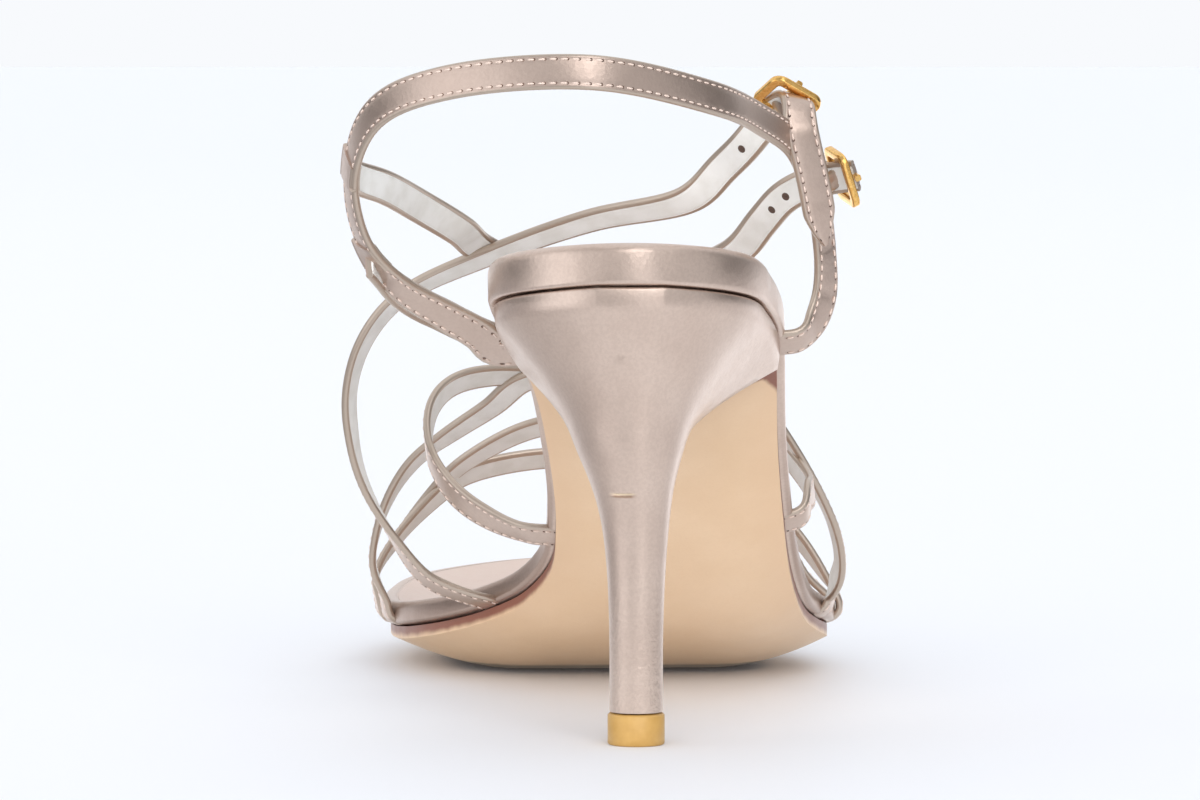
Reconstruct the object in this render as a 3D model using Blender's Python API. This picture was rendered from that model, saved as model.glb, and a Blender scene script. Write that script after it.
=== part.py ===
"""Strappy high-heeled leather sandal for a right foot, standing empty on its heel tip and its forefoot.

Shapes are worked out in millimetres in the shoe's own frame: X runs to the lateral side, Y from the heel's
back to the toe, Z up from the floor, with X = 0 under the heel tip's centre. The root empty then carries the
whole shoe to the middle of its own footprint, in metres.
"""

import math
from typing import NamedTuple

import bmesh
import bpy
import numpy as np

MM = 0.001

# Driving sizes of the sole unit
SHOE_LENGTH = 223.0
HEEL_ROUND = 25.0
TOE_ROUND = 34.0
BREAST = 45.0
BREAST_BULGE = 9.5
BREAST_NARROW = 2.5
SEAM_GAP = 0.4
OUTSOLE_EDGE = 1.8
OUTSOLE_INSET = 1.5
SOLE_TIP_HALF = 0.3
OUTSOLE_TOE = 0.9995
TREAD_FLAT = 0.42
INSOLE_ROUND = 2.0
HEEL_INSET = 0.9
HEEL_FLARE = 1.5
HEEL_FLARE_STEPS = (0.25, 0.5, 0.7, 0.86)
HEEL_TIP_HEIGHT = 5.4
HEEL_TIP_OVERHANG = 0.3
PIECE_GAP = 0.3

# How the sole unit's edges are rounded and drawn in
TOE_SQUARE = 2.3
INSOLE_FOOT_INSET = 0.6
INSOLE_FOOT_SHARE = 0.12
HEEL_MIDDLE = 0.48
HEEL_SQUARE = 0.9
HEEL_LIP = 3.0
HEEL_LIP_SHARE = 0.985
SEAT_CORNER = 0.25
SEAT_FILL = (0.66, 0.33)

# Driving sizes of the straps, which are the upper
STRAP_WIDTH = 6.0
STRAP_THICK = 1.8
STRAP_BEVEL = 0.55
BEVEL_SHARE = 0.6
STRAP_BITE = 0.8
TUCK = 6.0
STRAIGHT = 0.0
TIGHT = 0.6
WIDE = 2.4
SEAM_SEAT = 0.3
SEAM_RUN = 2.5
SEAM_RISE = 2.0
TAIL_POINT = 6.0
TAIL_TIP = 0.12
TAIL_ROUND = 0.6
ANKLE_FLARE = 2.0
FLARE_REACH = 24.0
LOOP_WRAP = 0.6
LOOP_LENGTH = 4.6

# Driving sizes of the buckles, their prongs and the leather tabs that hold them
BUCKLE_INSIDE = 6.9
BUCKLE_REACH = 5.8
BUCKLE_BAR = 1.7
BUCKLE_CORNER = 1.4
PRONG_BAR = 1.1
PRONG_END = 0.98
PRONG_DIP = 0.95
TAB_WIDTH = 3.6
TAB_THICK = 1.2
TAB_STRAIGHT = 3.2

# How finely the solids are faceted
OUTLINE_STEPS = 38
INSOLE_COLUMNS = 4
OUTSOLE_ROWS = 30
OUTSOLE_COLUMNS = 10
HEEL_SIDES = 32
STRAP_STEP = 1.6
STRAP_TURN = 10.0
STRAP_REACH = 8.0
FRAME_SIDES = 8
PRONG_SIDES = 6
PRONG_TURN = 10
ROUND_STEPS = (0.0, 30.0, 60.0, 90.0)
SEAM_TURN = (0.0, 35.0, 65.0, 90.0)
TAB_TURN = (90.0, 55.0, 20.0, -15.0, -50.0, -85.0)


class Section(NamedTuple):
    """A crosswise section of the sole at a distance y from the heel's back."""

    y: float
    medial: float
    lateral: float
    seam: float
    cup: float
    tread: float
    insole: float


# medial and lateral: the insole's edges. seam: height of the edge where insole and outsole meet.
# cup: how much lower the insole's middle hangs. tread: the outsole's underside in the middle.
# insole: the insole's thickness.
SOLE = (
    Section(0.0, -25.0, 20.5, 79.2, 0.0, 74.0, 7.3),
    Section(25.0, -25.2, 23.4, 74.4, 0.4, 70.0, 7.2),
    Section(33.0, -24.0, 25.6, 71.8, 0.6, 67.5, 7.0),
    Section(40.0, -22.2, 27.2, 68.9, 0.8, 65.0, 6.7),
    Section(48.0, -18.8, 28.0, 63.8, 1.0, 59.6, 6.2),
    Section(66.0, -14.3, 29.8, 48.7, 1.2, 44.4, 5.4),
    Section(83.0, -12.2, 32.4, 33.9, 1.5, 29.3, 5.0),
    Section(95.0, -12.8, 34.5, 24.9, 1.9, 19.9, 4.8),
    Section(106.0, -17.6, 37.0, 18.2, 2.4, 12.6, 4.6),
    Section(115.0, -23.8, 39.2, 14.5, 3.0, 8.3, 4.5),
    Section(125.0, -30.0, 42.2, 11.8, 3.6, 4.9, 4.5),
    Section(135.0, -34.8, 44.8, 10.0, 4.0, 2.2, 4.5),
    Section(150.0, -38.9, 46.0, 8.3, 4.3, -0.3, 4.5),
    Section(165.0, -40.2, 43.6, 7.7, 4.0, -0.4, 4.5),
    Section(180.0, -39.4, 38.0, 8.1, 3.5, 0.9, 4.5),
    Section(200.0, -34.5, 30.5, 9.6, 2.4, 3.6, 4.5),
    Section(223.0, -26.0, 21.0, 12.0, 1.2, 7.6, 4.5),
)


class HeelLevel(NamedTuple):
    """A level section of the heel's column, z above the floor."""

    z: float
    back: float
    front: float
    medial: float
    lateral: float


HEEL = (
    HeelLevel(5.7, 12.6, 22.6, -4.8, 4.4),
    HeelLevel(18.0, 12.4, 22.8, -4.8, 4.4),
    HeelLevel(31.0, 11.6, 23.8, -5.3, 4.9),
    HeelLevel(38.0, 10.8, 25.6, -6.1, 5.5),
    HeelLevel(45.0, 9.4, 29.6, -8.0, 6.5),
    HeelLevel(51.0, 7.8, 35.5, -10.7, 8.4),
)


def hermite(xs, ys):
    """A smooth curve through a table, with each slope taken from its neighbours."""
    xs = np.asarray(xs, float)
    ys = np.asarray(ys, float)
    slopes = np.gradient(ys, xs)

    def at(x):
        i = np.clip(np.searchsorted(xs, x) - 1, 0, len(xs) - 2)
        span = xs[i + 1] - xs[i]
        t = np.clip((x - xs[i]) / span, 0.0, 1.0)
        rest = 1.0 - t
        start = (1 + 2 * t) * rest**2 * ys[i] + t * rest**2 * span * slopes[i]
        end = t**2 * (3 - 2 * t) * ys[i + 1] - t**2 * rest * span * slopes[i + 1]
        return start + end

    return at


SOLE_Y = [row.y for row in SOLE]
medial_edge = hermite(SOLE_Y, [row.medial for row in SOLE])
lateral_edge = hermite(SOLE_Y, [row.lateral for row in SOLE])
seam_height = hermite(SOLE_Y, [row.seam for row in SOLE])
cup_depth = hermite(SOLE_Y, [row.cup for row in SOLE])
tread_height = hermite(SOLE_Y, [row.tread for row in SOLE])
insole_thickness = hermite(SOLE_Y, [row.insole for row in SOLE])


def end_round(y):
    """Narrows the sole to a round heel and a round toe."""
    heel = 1.0 - np.clip(y / HEEL_ROUND, 0.0, 1.0)
    toe = 1.0 - np.clip((SHOE_LENGTH - y) / TOE_ROUND, 0.0, 1.0)
    return np.sqrt(np.clip(1.0 - heel**2, 0.0, 1.0)) * np.sqrt(np.clip(1.0 - toe**TOE_SQUARE, 0.0, 1.0))


def across(x, y):
    """Where x lies between the sole's edges, from -1 at the medial edge to 1 at the lateral one."""
    middle = (medial_edge(y) + lateral_edge(y)) / 2
    return (x - middle) / ((lateral_edge(y) - medial_edge(y)) / 2)


def slope_normal(y):
    """The direction square to the sole, leaning towards the toe where the sole falls."""
    fall = (seam_height(y - 1.0) - seam_height(y + 1.0)) / 2.0
    length = math.hypot(fall, 1.0)
    return np.array([0.0, fall / length, 1.0 / length])


def bed(x, y):
    """Height of the surface that insole and outsole share."""
    return seam_height(y) - cup_depth(y) * (1.0 - np.clip(across(x, y), -1.0, 1.0) ** 2)


def underfoot(x, y):
    """Height of the outsole's underside: flat in the middle of the tread and feathered to a thin edge."""
    middle = max(0.0, float(tread_height(y)))
    share = max(0.0, abs(float(across(x, y))) - TREAD_FLAT) / (1.0 - TREAD_FLAT)
    return middle + (seam_height(y) - OUTSOLE_EDGE - middle) * min(1.0, share) ** 2


def mesh_object(name, points, faces, material, smooth_angle=35.0):
    """A closed mesh from points in millimetres, shaded smooth apart from its real edges."""
    mesh = bpy.data.meshes.new(name)
    mesh.from_pydata([tuple(float(v) * MM for v in p) for p in points], [], faces)
    tidy = bmesh.new()
    tidy.from_mesh(mesh)
    bmesh.ops.recalc_face_normals(tidy, faces=tidy.faces)
    tidy.to_mesh(mesh)
    tidy.free()
    mesh.shade_smooth()
    mesh.set_sharp_from_angle(angle=math.radians(smooth_angle))
    thing = bpy.data.objects.new(name, mesh)
    thing.data.materials.append(material)
    bpy.context.scene.collection.objects.link(thing)
    return thing


def finish(name, colour, roughness, metallic):
    """A plain material of the part's colour."""
    material = bpy.data.materials.new(name)
    material.use_nodes = True
    shader = material.node_tree.nodes["Principled BSDF"]
    shader.inputs["Base Color"].default_value = (*colour, 1.0)
    shader.inputs["Roughness"].default_value = roughness
    shader.inputs["Metallic"].default_value = metallic
    return material


def outline(inset):
    """The insole's plan as a closed loop from the heel, up the medial side to the toe and back."""
    turn = np.pi * np.arange(OUTLINE_STEPS + 1) / OUTLINE_STEPS
    y = SHOE_LENGTH * (1.0 - np.cos(turn)) / 2.0
    middle = (medial_edge(y) + lateral_edge(y)) / 2
    half = (lateral_edge(y) - medial_edge(y)) / 2 * end_round(y)
    medial = np.stack([middle - half, y], axis=1)
    lateral = np.stack([middle + half, y], axis=1)
    loop = np.concatenate([medial, lateral[-2:0:-1]])
    along = np.roll(loop, -1, axis=0) - np.roll(loop, 1, axis=0)
    along /= np.linalg.norm(along, axis=1)[:, None]
    inward = np.stack([along[:, 1], -along[:, 0]], axis=1)
    return loop + inset * inward


def insole_point(x, y, lift):
    """A point of the insole, lifted square to the sole from its underside."""
    base = np.array([x, y, bed(x, y) + SEAM_GAP])
    return base + lift * slope_normal(y)


def fill_loop(points, stations, faces, loop_start, lift, turned):
    """Closes a plan loop with rows of points from its medial to its lateral side."""
    count = 2 * OUTLINE_STEPS
    rows = []
    for i in range(1, OUTLINE_STEPS):
        left = points[loop_start + i]
        right = points[loop_start + count - i]
        row = [loop_start + i]
        for column in range(1, INSOLE_COLUMNS):
            x = left[0] + (right[0] - left[0]) * column / INSOLE_COLUMNS
            y = (stations[loop_start + i] + stations[loop_start + count - i]) / 2
            row.append(len(points))
            points.append(insole_point(x, y, lift * insole_thickness(y)))
        row.append(loop_start + count - i)
        rows.append(row)
    for lower, upper in zip(rows, rows[1:]):
        for a, b, c, d in zip(lower, lower[1:], upper[1:], upper):
            faces.append((d, c, b, a) if turned else (a, b, c, d))
    for tip, row in ((loop_start, rows[0]), (loop_start + OUTLINE_STEPS, rows[-1])):
        for a, b in zip(row, row[1:]):
            faces.append((tip, a, b))


def build_insole(material):
    """The leather-wrapped insole: a padded board with a rounded upper edge."""
    points, stations, faces = [], [], []
    count = 2 * OUTLINE_STEPS
    quarter = [math.radians(degrees) for degrees in ROUND_STEPS]
    steps = [("low", INSOLE_FOOT_INSET, 0.0), ("low", 0.0, INSOLE_FOOT_SHARE)]
    steps += [("high", INSOLE_ROUND * (1 - math.cos(a)), INSOLE_ROUND * (1 - math.sin(a))) for a in quarter]
    starts = []
    for kind, inset, drop in steps:
        starts.append(len(points))
        for x, y in outline(inset):
            thick = float(insole_thickness(y))
            lift = drop * thick if kind == "low" else thick - drop
            points.append(insole_point(x, y, lift))
            stations.append(y)
    for low, high in zip(starts, starts[1:]):
        for i in range(count):
            j = (i + 1) % count
            faces.append((low + i, low + j, high + j, high + i))
    fill_loop(points, stations, faces, starts[0], 0.0, True)
    fill_loop(points, stations, faces, starts[-1], 1.0, False)
    return mesh_object("insole", points, faces, material)


def breast_line(x):
    """Where the heel's front edge runs: furthest forward in the middle."""
    return BREAST + BREAST_BULGE * (1.0 - np.clip(across(x, BREAST), -1.0, 1.0) ** 2) ** BREAST_NARROW


def sole_x(share, y, inset):
    """A point across the sole, share going from -1 at the medial edge to 1 at the lateral one."""
    half = (lateral_edge(y) - medial_edge(y)) / 2 * end_round(y) - inset
    return (medial_edge(y) + lateral_edge(y)) / 2 + share * max(half, SOLE_TIP_HALF)


def build_outsole(material):
    """The leather outsole from the heel's front edge to the toe, with a feathered edge."""
    turn = np.pi * np.arange(OUTSOLE_ROWS + 1) / OUTSOLE_ROWS
    travel = np.where(turn < np.pi / 2, turn / np.pi, (1.0 - np.cos(turn)) / 2.0)
    travel[-1] = OUTSOLE_TOE
    shares = np.linspace(-1.0, 1.0, OUTSOLE_COLUMNS + 1)
    points, faces = [], []

    def layer(height):
        start = len(points)
        for t in travel:
            for share in shares:
                rear = breast_line(sole_x(share, BREAST, OUTSOLE_INSET))
                rear = breast_line(sole_x(share, rear, OUTSOLE_INSET)) + PIECE_GAP
                y = rear + (SHOE_LENGTH - OUTSOLE_INSET - rear) * t
                x = sole_x(share, y, OUTSOLE_INSET)
                points.append((x, y, height(x, y)))
        return start

    upper = layer(bed)
    lower = layer(underfoot)
    wide = OUTSOLE_COLUMNS + 1
    rows = OUTSOLE_ROWS + 1
    for r in range(rows - 1):
        for c in range(OUTSOLE_COLUMNS):
            a = r * wide + c
            faces.append((upper + a, upper + a + 1, upper + a + wide + 1, upper + a + wide))
            faces.append((lower + a + wide, lower + a + wide + 1, lower + a + 1, lower + a))
    rim = [c for c in range(wide)]
    rim += [r * wide + OUTSOLE_COLUMNS for r in range(1, rows)]
    rim += [(rows - 1) * wide + c for c in range(OUTSOLE_COLUMNS - 1, -1, -1)]
    rim += [r * wide for r in range(rows - 2, 0, -1)]
    for a, b in zip(rim, rim[1:] + rim[:1]):
        faces.append((upper + b, upper + a, lower + a, lower + b))
    return mesh_object("outsole", points, faces, material)


def heel_ring(back, front, medial, lateral):
    """A level, egg-shaped ring, from the back and round by the lateral side."""
    ring = []
    middle = back + (front - back) * HEEL_MIDDLE
    for i in range(HEEL_SIDES):
        angle = 2 * math.pi * i / HEEL_SIDES
        side = math.sin(angle)
        depth = -math.cos(angle)
        x = (medial + lateral) / 2 + (lateral - medial) / 2 * math.copysign(abs(side) ** HEEL_SQUARE, side)
        y = middle + (depth * (middle - back) if depth < 0 else depth * (front - middle))
        ring.append((x, y))
    return ring


def seat_ring():
    """The heel's upper edge: the insole's plan, drawn in a little and closed by the breast line."""
    ring = []
    for i in range(HEEL_SIDES):
        angle = 2 * math.pi * i / HEEL_SIDES
        side = math.sin(angle)
        depth = -math.cos(angle)
        if depth < SEAT_CORNER:
            y = HEEL_INSET + (BREAST - HEEL_INSET) * (depth + 1.0) / (SEAT_CORNER + 1.0)
            half = (lateral_edge(y) - medial_edge(y)) / 2 * end_round(y) - HEEL_INSET
            x = (medial_edge(y) + lateral_edge(y)) / 2 + np.sign(round(side, 6)) * max(half, 0.0)
        else:
            share = side / math.sqrt(1.0 - SEAT_CORNER**2)
            x = sole_x(share, BREAST, HEEL_INSET)
            y = breast_line(x)
        ring.append((x, y))
    return ring


def build_heel(material):
    """The covered heel: a slim column that flares into the seat under the insole."""
    points, faces = [], []
    rings = []
    for level in HEEL:
        ring = heel_ring(level.back, level.front, level.medial, level.lateral)
        rings.append([(x, y, level.z) for x, y in ring])
    seat = [(x, y, bed(x, y)) for x, y in seat_ring()]
    below = [(x * HEEL_LIP_SHARE, y, z - HEEL_LIP) for x, y, z in seat]
    last = rings[-1]
    for share in HEEL_FLARE_STEPS:
        spread = np.array([share**HEEL_FLARE, share**HEEL_FLARE, share])
        rings.append([tuple(np.array(p) * (1 - spread) + np.array(q) * spread) for p, q in zip(last, below)])
    rings += [below, seat]
    for shrink in SEAT_FILL:
        centre = np.mean(np.array(seat), axis=0)
        ring = []
        for x, y, _ in seat:
            px = centre[0] + (x - centre[0]) * shrink
            py = centre[1] + (y - centre[1]) * shrink
            ring.append((px, py, bed(px, py)))
        rings.append(ring)
    for ring in rings:
        points += ring
    for r in range(len(rings) - 1):
        for i in range(HEEL_SIDES):
            j = (i + 1) % HEEL_SIDES
            a = r * HEEL_SIDES
            faces.append((a + i, a + j, a + HEEL_SIDES + j, a + HEEL_SIDES + i))
    faces.append(tuple(reversed(range(HEEL_SIDES))))
    faces.append(tuple(range(len(points) - HEEL_SIDES, len(points))))
    return mesh_object("heel", points, faces, material)


def build_heel_tip(material):
    """The wearing piece under the heel."""
    foot = HEEL[0]
    grow = HEEL_TIP_OVERHANG
    points, faces = [], []
    for z in (0.0, HEEL_TIP_HEIGHT):
        ring = heel_ring(foot.back - grow, foot.front + grow, foot.medial - grow, foot.lateral + grow)
        points += [(x, y, z) for x, y in ring]
    for i in range(HEEL_SIDES):
        j = (i + 1) % HEEL_SIDES
        faces.append((i, j, HEEL_SIDES + j, HEEL_SIDES + i))
    faces.append(tuple(reversed(range(HEEL_SIDES))))
    faces.append(tuple(range(HEEL_SIDES, 2 * HEEL_SIDES)))
    return mesh_object("heel_tip", points, faces, material)


class Row(NamedTuple):
    """A place on a strap's middle line. Its outer face looks to an azimuth (0 lateral, 90 toe) and a tilt."""

    x: float
    y: float
    z: float
    facing: float
    tilt: float


class SeamEnd(NamedTuple):
    """A strap's end, tucked under the insole at a station of its medial (-1) or lateral (1) side.

    It turns upright with the inner radius given, or runs straight out where that is 0.
    """

    y: float
    side: int
    bend: float


# Where straps cross
MEDIAL_INSTEP = Row(-23.2, 79.0, 82.1, 120, 48)
MID_INSTEP = Row(-1.0, 84.0, 73.5, 100, 55)
LATERAL_VAMP = Row(35.0, 103.5, 42.3, 20, 20)
MID_VAMP = Row(-14.3, 124.0, 57.1, 100, 55)
LATERAL_TOE = Row(26.0, 143.5, 37.5, 48, 42)
MEDIAL_TOE = Row(-29.4, 161.5, 33.2, 143, 35)


def outward(row):
    """The direction that a strap's outer face looks to."""
    azimuth = math.radians(row.facing)
    tilt = math.radians(row.tilt)
    flat = math.cos(tilt)
    return np.array([flat * math.cos(azimuth), flat * math.sin(azimuth), math.sin(tilt)])


def over(row):
    """The same place for the strap that lies outside at a crossing."""
    lift = outward(row) * (STRAP_THICK - STRAP_BITE) / 2
    return row._replace(x=row.x + lift[0], y=row.y + lift[1], z=row.z + lift[2])


def under(row):
    """The same place for the strap that lies inside at a crossing."""
    lift = outward(row) * (STRAP_THICK - STRAP_BITE) / 2
    return row._replace(x=row.x - lift[0], y=row.y - lift[1], z=row.z - lift[2])


ANKLE_STRAP = (
    SeamEnd(44.0, -1, STRAIGHT),
    Row(-31.4, 42.0, 72.2, -112, -18),
    Row(-39.9, 38.0, 77.6, -132, -12),
    Row(-46.7, 32.0, 86.5, -156, -8),
    Row(-48.6, 25.0, 98.2, -165, 0),
    Row(-44.6, 14.0, 108.3, -140, 10),
    Row(-32.6, 3.0, 113.4, -110, 12),
    Row(-9.3, -5.0, 115.1, -88, 12),
    Row(11.9, 8.0, 110.8, -62, 14),
    Row(21.6, 25.0, 106.9, -52, 14),
    Row(29.4, 38.6, 101.4, -50, 10),
    Row(33.2, 43.4, 92.6, -45, 4),
    Row(34.8, 46.0, 83.0, -36, -5),
    Row(34.8, 46.6, 75.8, -46, -18),
    Row(33.0, 45.6, 70.9, -62, -38),
    SeamEnd(43.6, 1, STRAIGHT),
)

MEDIAL_CROSS_STRAP = (
    SeamEnd(113.0, -1, STRAIGHT),
    Row(-33.2, 110.6, 20.4, -150, -30),
    Row(-39.7, 108.0, 28.9, -168, -12),
    Row(-45.0, 103.0, 38.6, 178, -5),
    Row(-47.3, 98.0, 47.4, 165, 0),
    Row(-47.8, 93.0, 57.0, 160, 10),
    Row(-44.8, 88.0, 66.6, 150, 25),
    Row(-38.4, 84.0, 74.2, 140, 35),
    under(MEDIAL_INSTEP),
    Row(-5.0, 74.0, 88.1, 90, 52),
    Row(12.4, 64.0, 92.3, 60, 45),
    Row(17.7, 58.0, 97.9, 45, 35),
    Row(21.4, 51.5, 102.2, 35, 32),
    Row(25.2, 47.4, 107.4, 35, 45),
    Row(27.9, 43.0, 110.0, 25, 60),
    Row(29.2, 39.0, 110.2, -60, 62),
    Row(29.6, 35.2, 105.2, -80, 14),
    Row(32.2, 37.4, 94.6, -78, 6),
    Row(34.2, 40.4, 84.8, -72, 2),
)

LATERAL_CROSS_STRAP = (
    Row(-48.4, 24.5, 97.4, 180, 0),
    Row(-47.5, 27.0, 96.8, 178, 4),
    Row(-42.8, 36.0, 95.1, 165, 15),
    Row(-36.0, 52.0, 91.2, 150, 25),
    Row(-28.6, 66.0, 86.6, 138, 38),
    over(MEDIAL_INSTEP),
    over(MID_INSTEP),
    Row(14.0, 91.0, 66.5, 62, 44),
    Row(26.0, 98.0, 55.0, 40, 34),
    over(LATERAL_VAMP),
    Row(39.5, 108.0, 36.3, 15, 12),
    Row(43.0, 113.0, 28.9, 12, 8),
    Row(44.4, 118.0, 21.7, 8, 2),
    SeamEnd(125.0, 1, TIGHT),
)

INSTEP_STRAP = (
    Row(-45.4, 33.4, 82.2, 180, 0),
    Row(-43.8, 38.0, 80.4, 178, 0),
    Row(-40.2, 47.0, 76.8, 162, 10),
    Row(-33.2, 60.0, 72.4, 142, 28),
    Row(-18.0, 76.0, 66.6, 116, 44),
    under(MID_INSTEP),
    Row(13.0, 75.5, 79.0, 75, 46),
    Row(20.9, 66.0, 82.9, 60, 42),
    Row(24.8, 57.0, 88.6, 50, 35),
    Row(28.3, 50.8, 93.1, 47, 25),
    Row(33.0, 47.0, 95.6, 52, 20),
    Row(37.4, 44.2, 96.6, 55, 26),
    Row(39.9, 42.7, 96.8, 56, 28),
)

MEDIAL_WAIST_STRAP = (
    SeamEnd(88.5, -1, STRAIGHT),
    Row(-22.3, 95.0, 32.9, -130, -38),
    Row(-28.4, 99.0, 37.0, -150, -20),
    Row(-32.4, 103.0, 43.0, -175, -5),
    Row(-33.2, 107.0, 48.0, 165, 5),
    Row(-31.7, 112.0, 53.3, 150, 20),
    Row(-27.0, 117.0, 56.8, 130, 40),
    over(MID_VAMP),
    Row(4.0, 131.0, 53.0, 80, 54),
    over(LATERAL_TOE),
    Row(35.5, 151.0, 26.0, 25, 24),
    Row(41.0, 155.5, 17.5, 8, 8),
    SeamEnd(157.0, 1, TIGHT),
)

LATERAL_WAIST_STRAP = (
    SeamEnd(85.0, 1, WIDE),
    Row(36.8, 95.0, 38.0, 10, 8),
    under(LATERAL_VAMP),
    Row(27.0, 108.5, 51.0, 40, 40),
    Row(10.0, 116.0, 58.5, 75, 54),
    under(MID_VAMP),
    Row(-20.2, 129.0, 51.6, 115, 45),
    Row(-28.3, 135.0, 45.8, 130, 40),
    Row(-34.7, 140.0, 40.5, 145, 30),
    Row(-39.2, 144.0, 33.7, 160, 15),
    Row(-41.9, 147.0, 26.2, 172, 5),
    Row(-42.6, 149.0, 19.8, 180, 0),
    SeamEnd(150.5, -1, TIGHT),
)

REAR_TOE_STRAP = (
    SeamEnd(170.5, -1, TIGHT),
    Row(-41.6, 169.5, 16.5, 178, 2),
    Row(-38.3, 168.0, 22.6, 168, 10),
    over(MEDIAL_TOE),
    Row(-24.5, 157.0, 39.0, 130, 45),
    Row(-10.1, 150.0, 46.4, 100, 52),
    Row(8.0, 146.0, 46.5, 75, 52),
    under(LATERAL_TOE),
    Row(38.0, 142.0, 26.0, 18, 18),
    Row(44.0, 141.5, 17.5, 5, 5),
    SeamEnd(141.5, 1, TIGHT),
)

FRONT_TOE_STRAP = (
    SeamEnd(160.0, -1, TIGHT),
    Row(-42.0, 160.3, 16.5, 180, 2),
    Row(-37.6, 161.0, 24.0, 164, 12),
    under(MEDIAL_TOE),
    Row(-24.3, 163.0, 36.2, 130, 40),
    Row(-8.5, 166.0, 39.2, 95, 50),
    Row(8.0, 167.0, 38.0, 75, 48),
    Row(24.0, 169.0, 30.0, 45, 36),
    Row(35.0, 170.5, 18.0, 14, 12),
    SeamEnd(171.0, 1, TIGHT),
)


def seam_frames(end, thick):
    """Places and outward directions from a strap's hidden end to where it leaves the seam."""
    edge = medial_edge if end.side < 0 else lateral_edge
    ahead = edge(end.y + 1.0) * end_round(end.y + 1.0)
    behind = edge(end.y - 1.0) * end_round(end.y - 1.0)
    out = np.array([2.0, behind - ahead, 0.0]) * end.side
    out /= np.linalg.norm(out)
    up = slope_normal(end.y)
    rim = np.array([edge(end.y) * end_round(end.y), end.y, 0.0])

    def seat(reach):
        place = rim + out * reach
        place[2] = bed(place[0], place[1]) + SEAM_SEAT
        return place + up * (thick / 2)

    frames = [(seat(-TUCK), -up), (seat(-TUCK / 2), -up)]
    if end.bend > 0:
        radius = thick / 2 + end.bend
        start = seat(PIECE_GAP - TIGHT)
        for degrees in SEAM_TURN:
            angle = math.radians(degrees)
            step = out * radius * math.sin(angle) + up * radius * (1.0 - math.cos(angle))
            frames.append((start + step, out * math.sin(angle) - up * math.cos(angle)))
        frames.append((start + out * radius + up * (radius + SEAM_RISE), out))
    else:
        frames += [(seat(0.0), -up), (seat(SEAM_RUN), -up)]
    return frames


def strap_frames(route, thick):
    """A smooth run of places, directions and outward directions along a strap."""
    stops = []
    for k, stop in enumerate(route):
        if isinstance(stop, SeamEnd):
            frames = seam_frames(stop, thick)
            stops += frames if k == 0 else frames[::-1]
        else:
            stops.append((np.array([stop.x, stop.y, stop.z]), outward(stop)))
    places = [place for place, _ in stops]
    normals = [normal for _, normal in stops]
    places = [2 * places[0] - places[1]] + places + [2 * places[-1] - places[-2]]
    run, facing = [], []
    for k in range(len(stops) - 1):
        p0, p1, p2, p3 = places[k:k + 4]
        turned = max(bend(p0, p1, p2), bend(p1, p2, p3), bend_of(normals[k], normals[k + 1]))
        span = float(np.linalg.norm(p2 - p1))
        pieces = max(1, min(round(turned / STRAP_TURN), round(span / STRAP_STEP)), round(span / STRAP_REACH))
        gaps = [math.sqrt(np.linalg.norm(b - a)) for a, b in ((p0, p1), (p1, p2), (p2, p3))]
        knots = np.cumsum([0.0] + gaps)
        for i in range(pieces):
            share = i / pieces
            t = knots[1] + (knots[2] - knots[1]) * share
            run.append(knotted(p0, p1, p2, p3, knots, t))
            facing.append(normals[k] * (1 - share) + normals[k + 1] * share)
    run.append(places[-2])
    facing.append(normals[-1])
    run = np.array(run)
    along = np.gradient(run, axis=0)
    frames = []
    for place, heading, normal in zip(run, along, facing):
        heading = heading / np.linalg.norm(heading)
        side = np.cross(heading, normal)
        side /= np.linalg.norm(side)
        frames.append((place, heading, side, np.cross(side, heading)))
    return frames


def bend_of(a, b):
    """The angle between two directions in degrees."""
    share = float(np.dot(a, b) / (np.linalg.norm(a) * np.linalg.norm(b)))
    return math.degrees(math.acos(max(-1.0, min(1.0, share))))


def bend(a, b, c):
    """How far a path turns at b."""
    return bend_of(b - a, c - b)


def knotted(p0, p1, p2, p3, knots, t):
    """A point on the curve that passes through four places."""
    a1 = (p0 * (knots[1] - t) + p1 * (t - knots[0])) / (knots[1] - knots[0])
    a2 = (p1 * (knots[2] - t) + p2 * (t - knots[1])) / (knots[2] - knots[1])
    a3 = (p2 * (knots[3] - t) + p3 * (t - knots[2])) / (knots[3] - knots[2])
    b1 = (a1 * (knots[2] - t) + a2 * (t - knots[0])) / (knots[2] - knots[0])
    b2 = (a2 * (knots[3] - t) + a3 * (t - knots[1])) / (knots[3] - knots[1])
    return (b1 * (knots[2] - t) + b2 * (t - knots[1])) / (knots[2] - knots[1])


def ribbon(name, frames, width, thick, material, pointed=False, flare=0.0):
    """A strap with softly bevelled edges along a run of frames, with flared ends or a pointed last end."""
    places = np.array([frame[0] for frame in frames])
    steps = np.linalg.norm(np.diff(places, axis=0), axis=1)
    left = np.append(np.cumsum(steps[::-1])[::-1], 0.0)
    points, faces = [], []
    for (place, _, side, normal), rest in zip(frames, left):
        near = min(rest, float(left[0]) - rest)
        half = width / 2 + flare / 2 * max(0.0, 1.0 - near / FLARE_REACH)
        if pointed:
            half *= max(TAIL_TIP, min(1.0, rest / TAIL_POINT) ** TAIL_ROUND)
        edge = thick / 2
        bevel = min(STRAP_BEVEL, half * BEVEL_SHARE)
        profile = [(half, 0.0), (half - bevel, edge), (bevel - half, edge)]
        profile += [(-a, -b) for a, b in profile]
        points += [place + a * side + b * normal for a, b in profile]
    corners = len(profile)
    for r in range(len(frames) - 1):
        for i in range(corners):
            j = (i + 1) % corners
            faces.append((r * corners + i, r * corners + j, (r + 1) * corners + j, (r + 1) * corners + i))
    faces.append(tuple(range(corners)))
    faces.append(tuple(range(len(points) - corners, len(points))))
    return mesh_object(name, points, faces, material)


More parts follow.
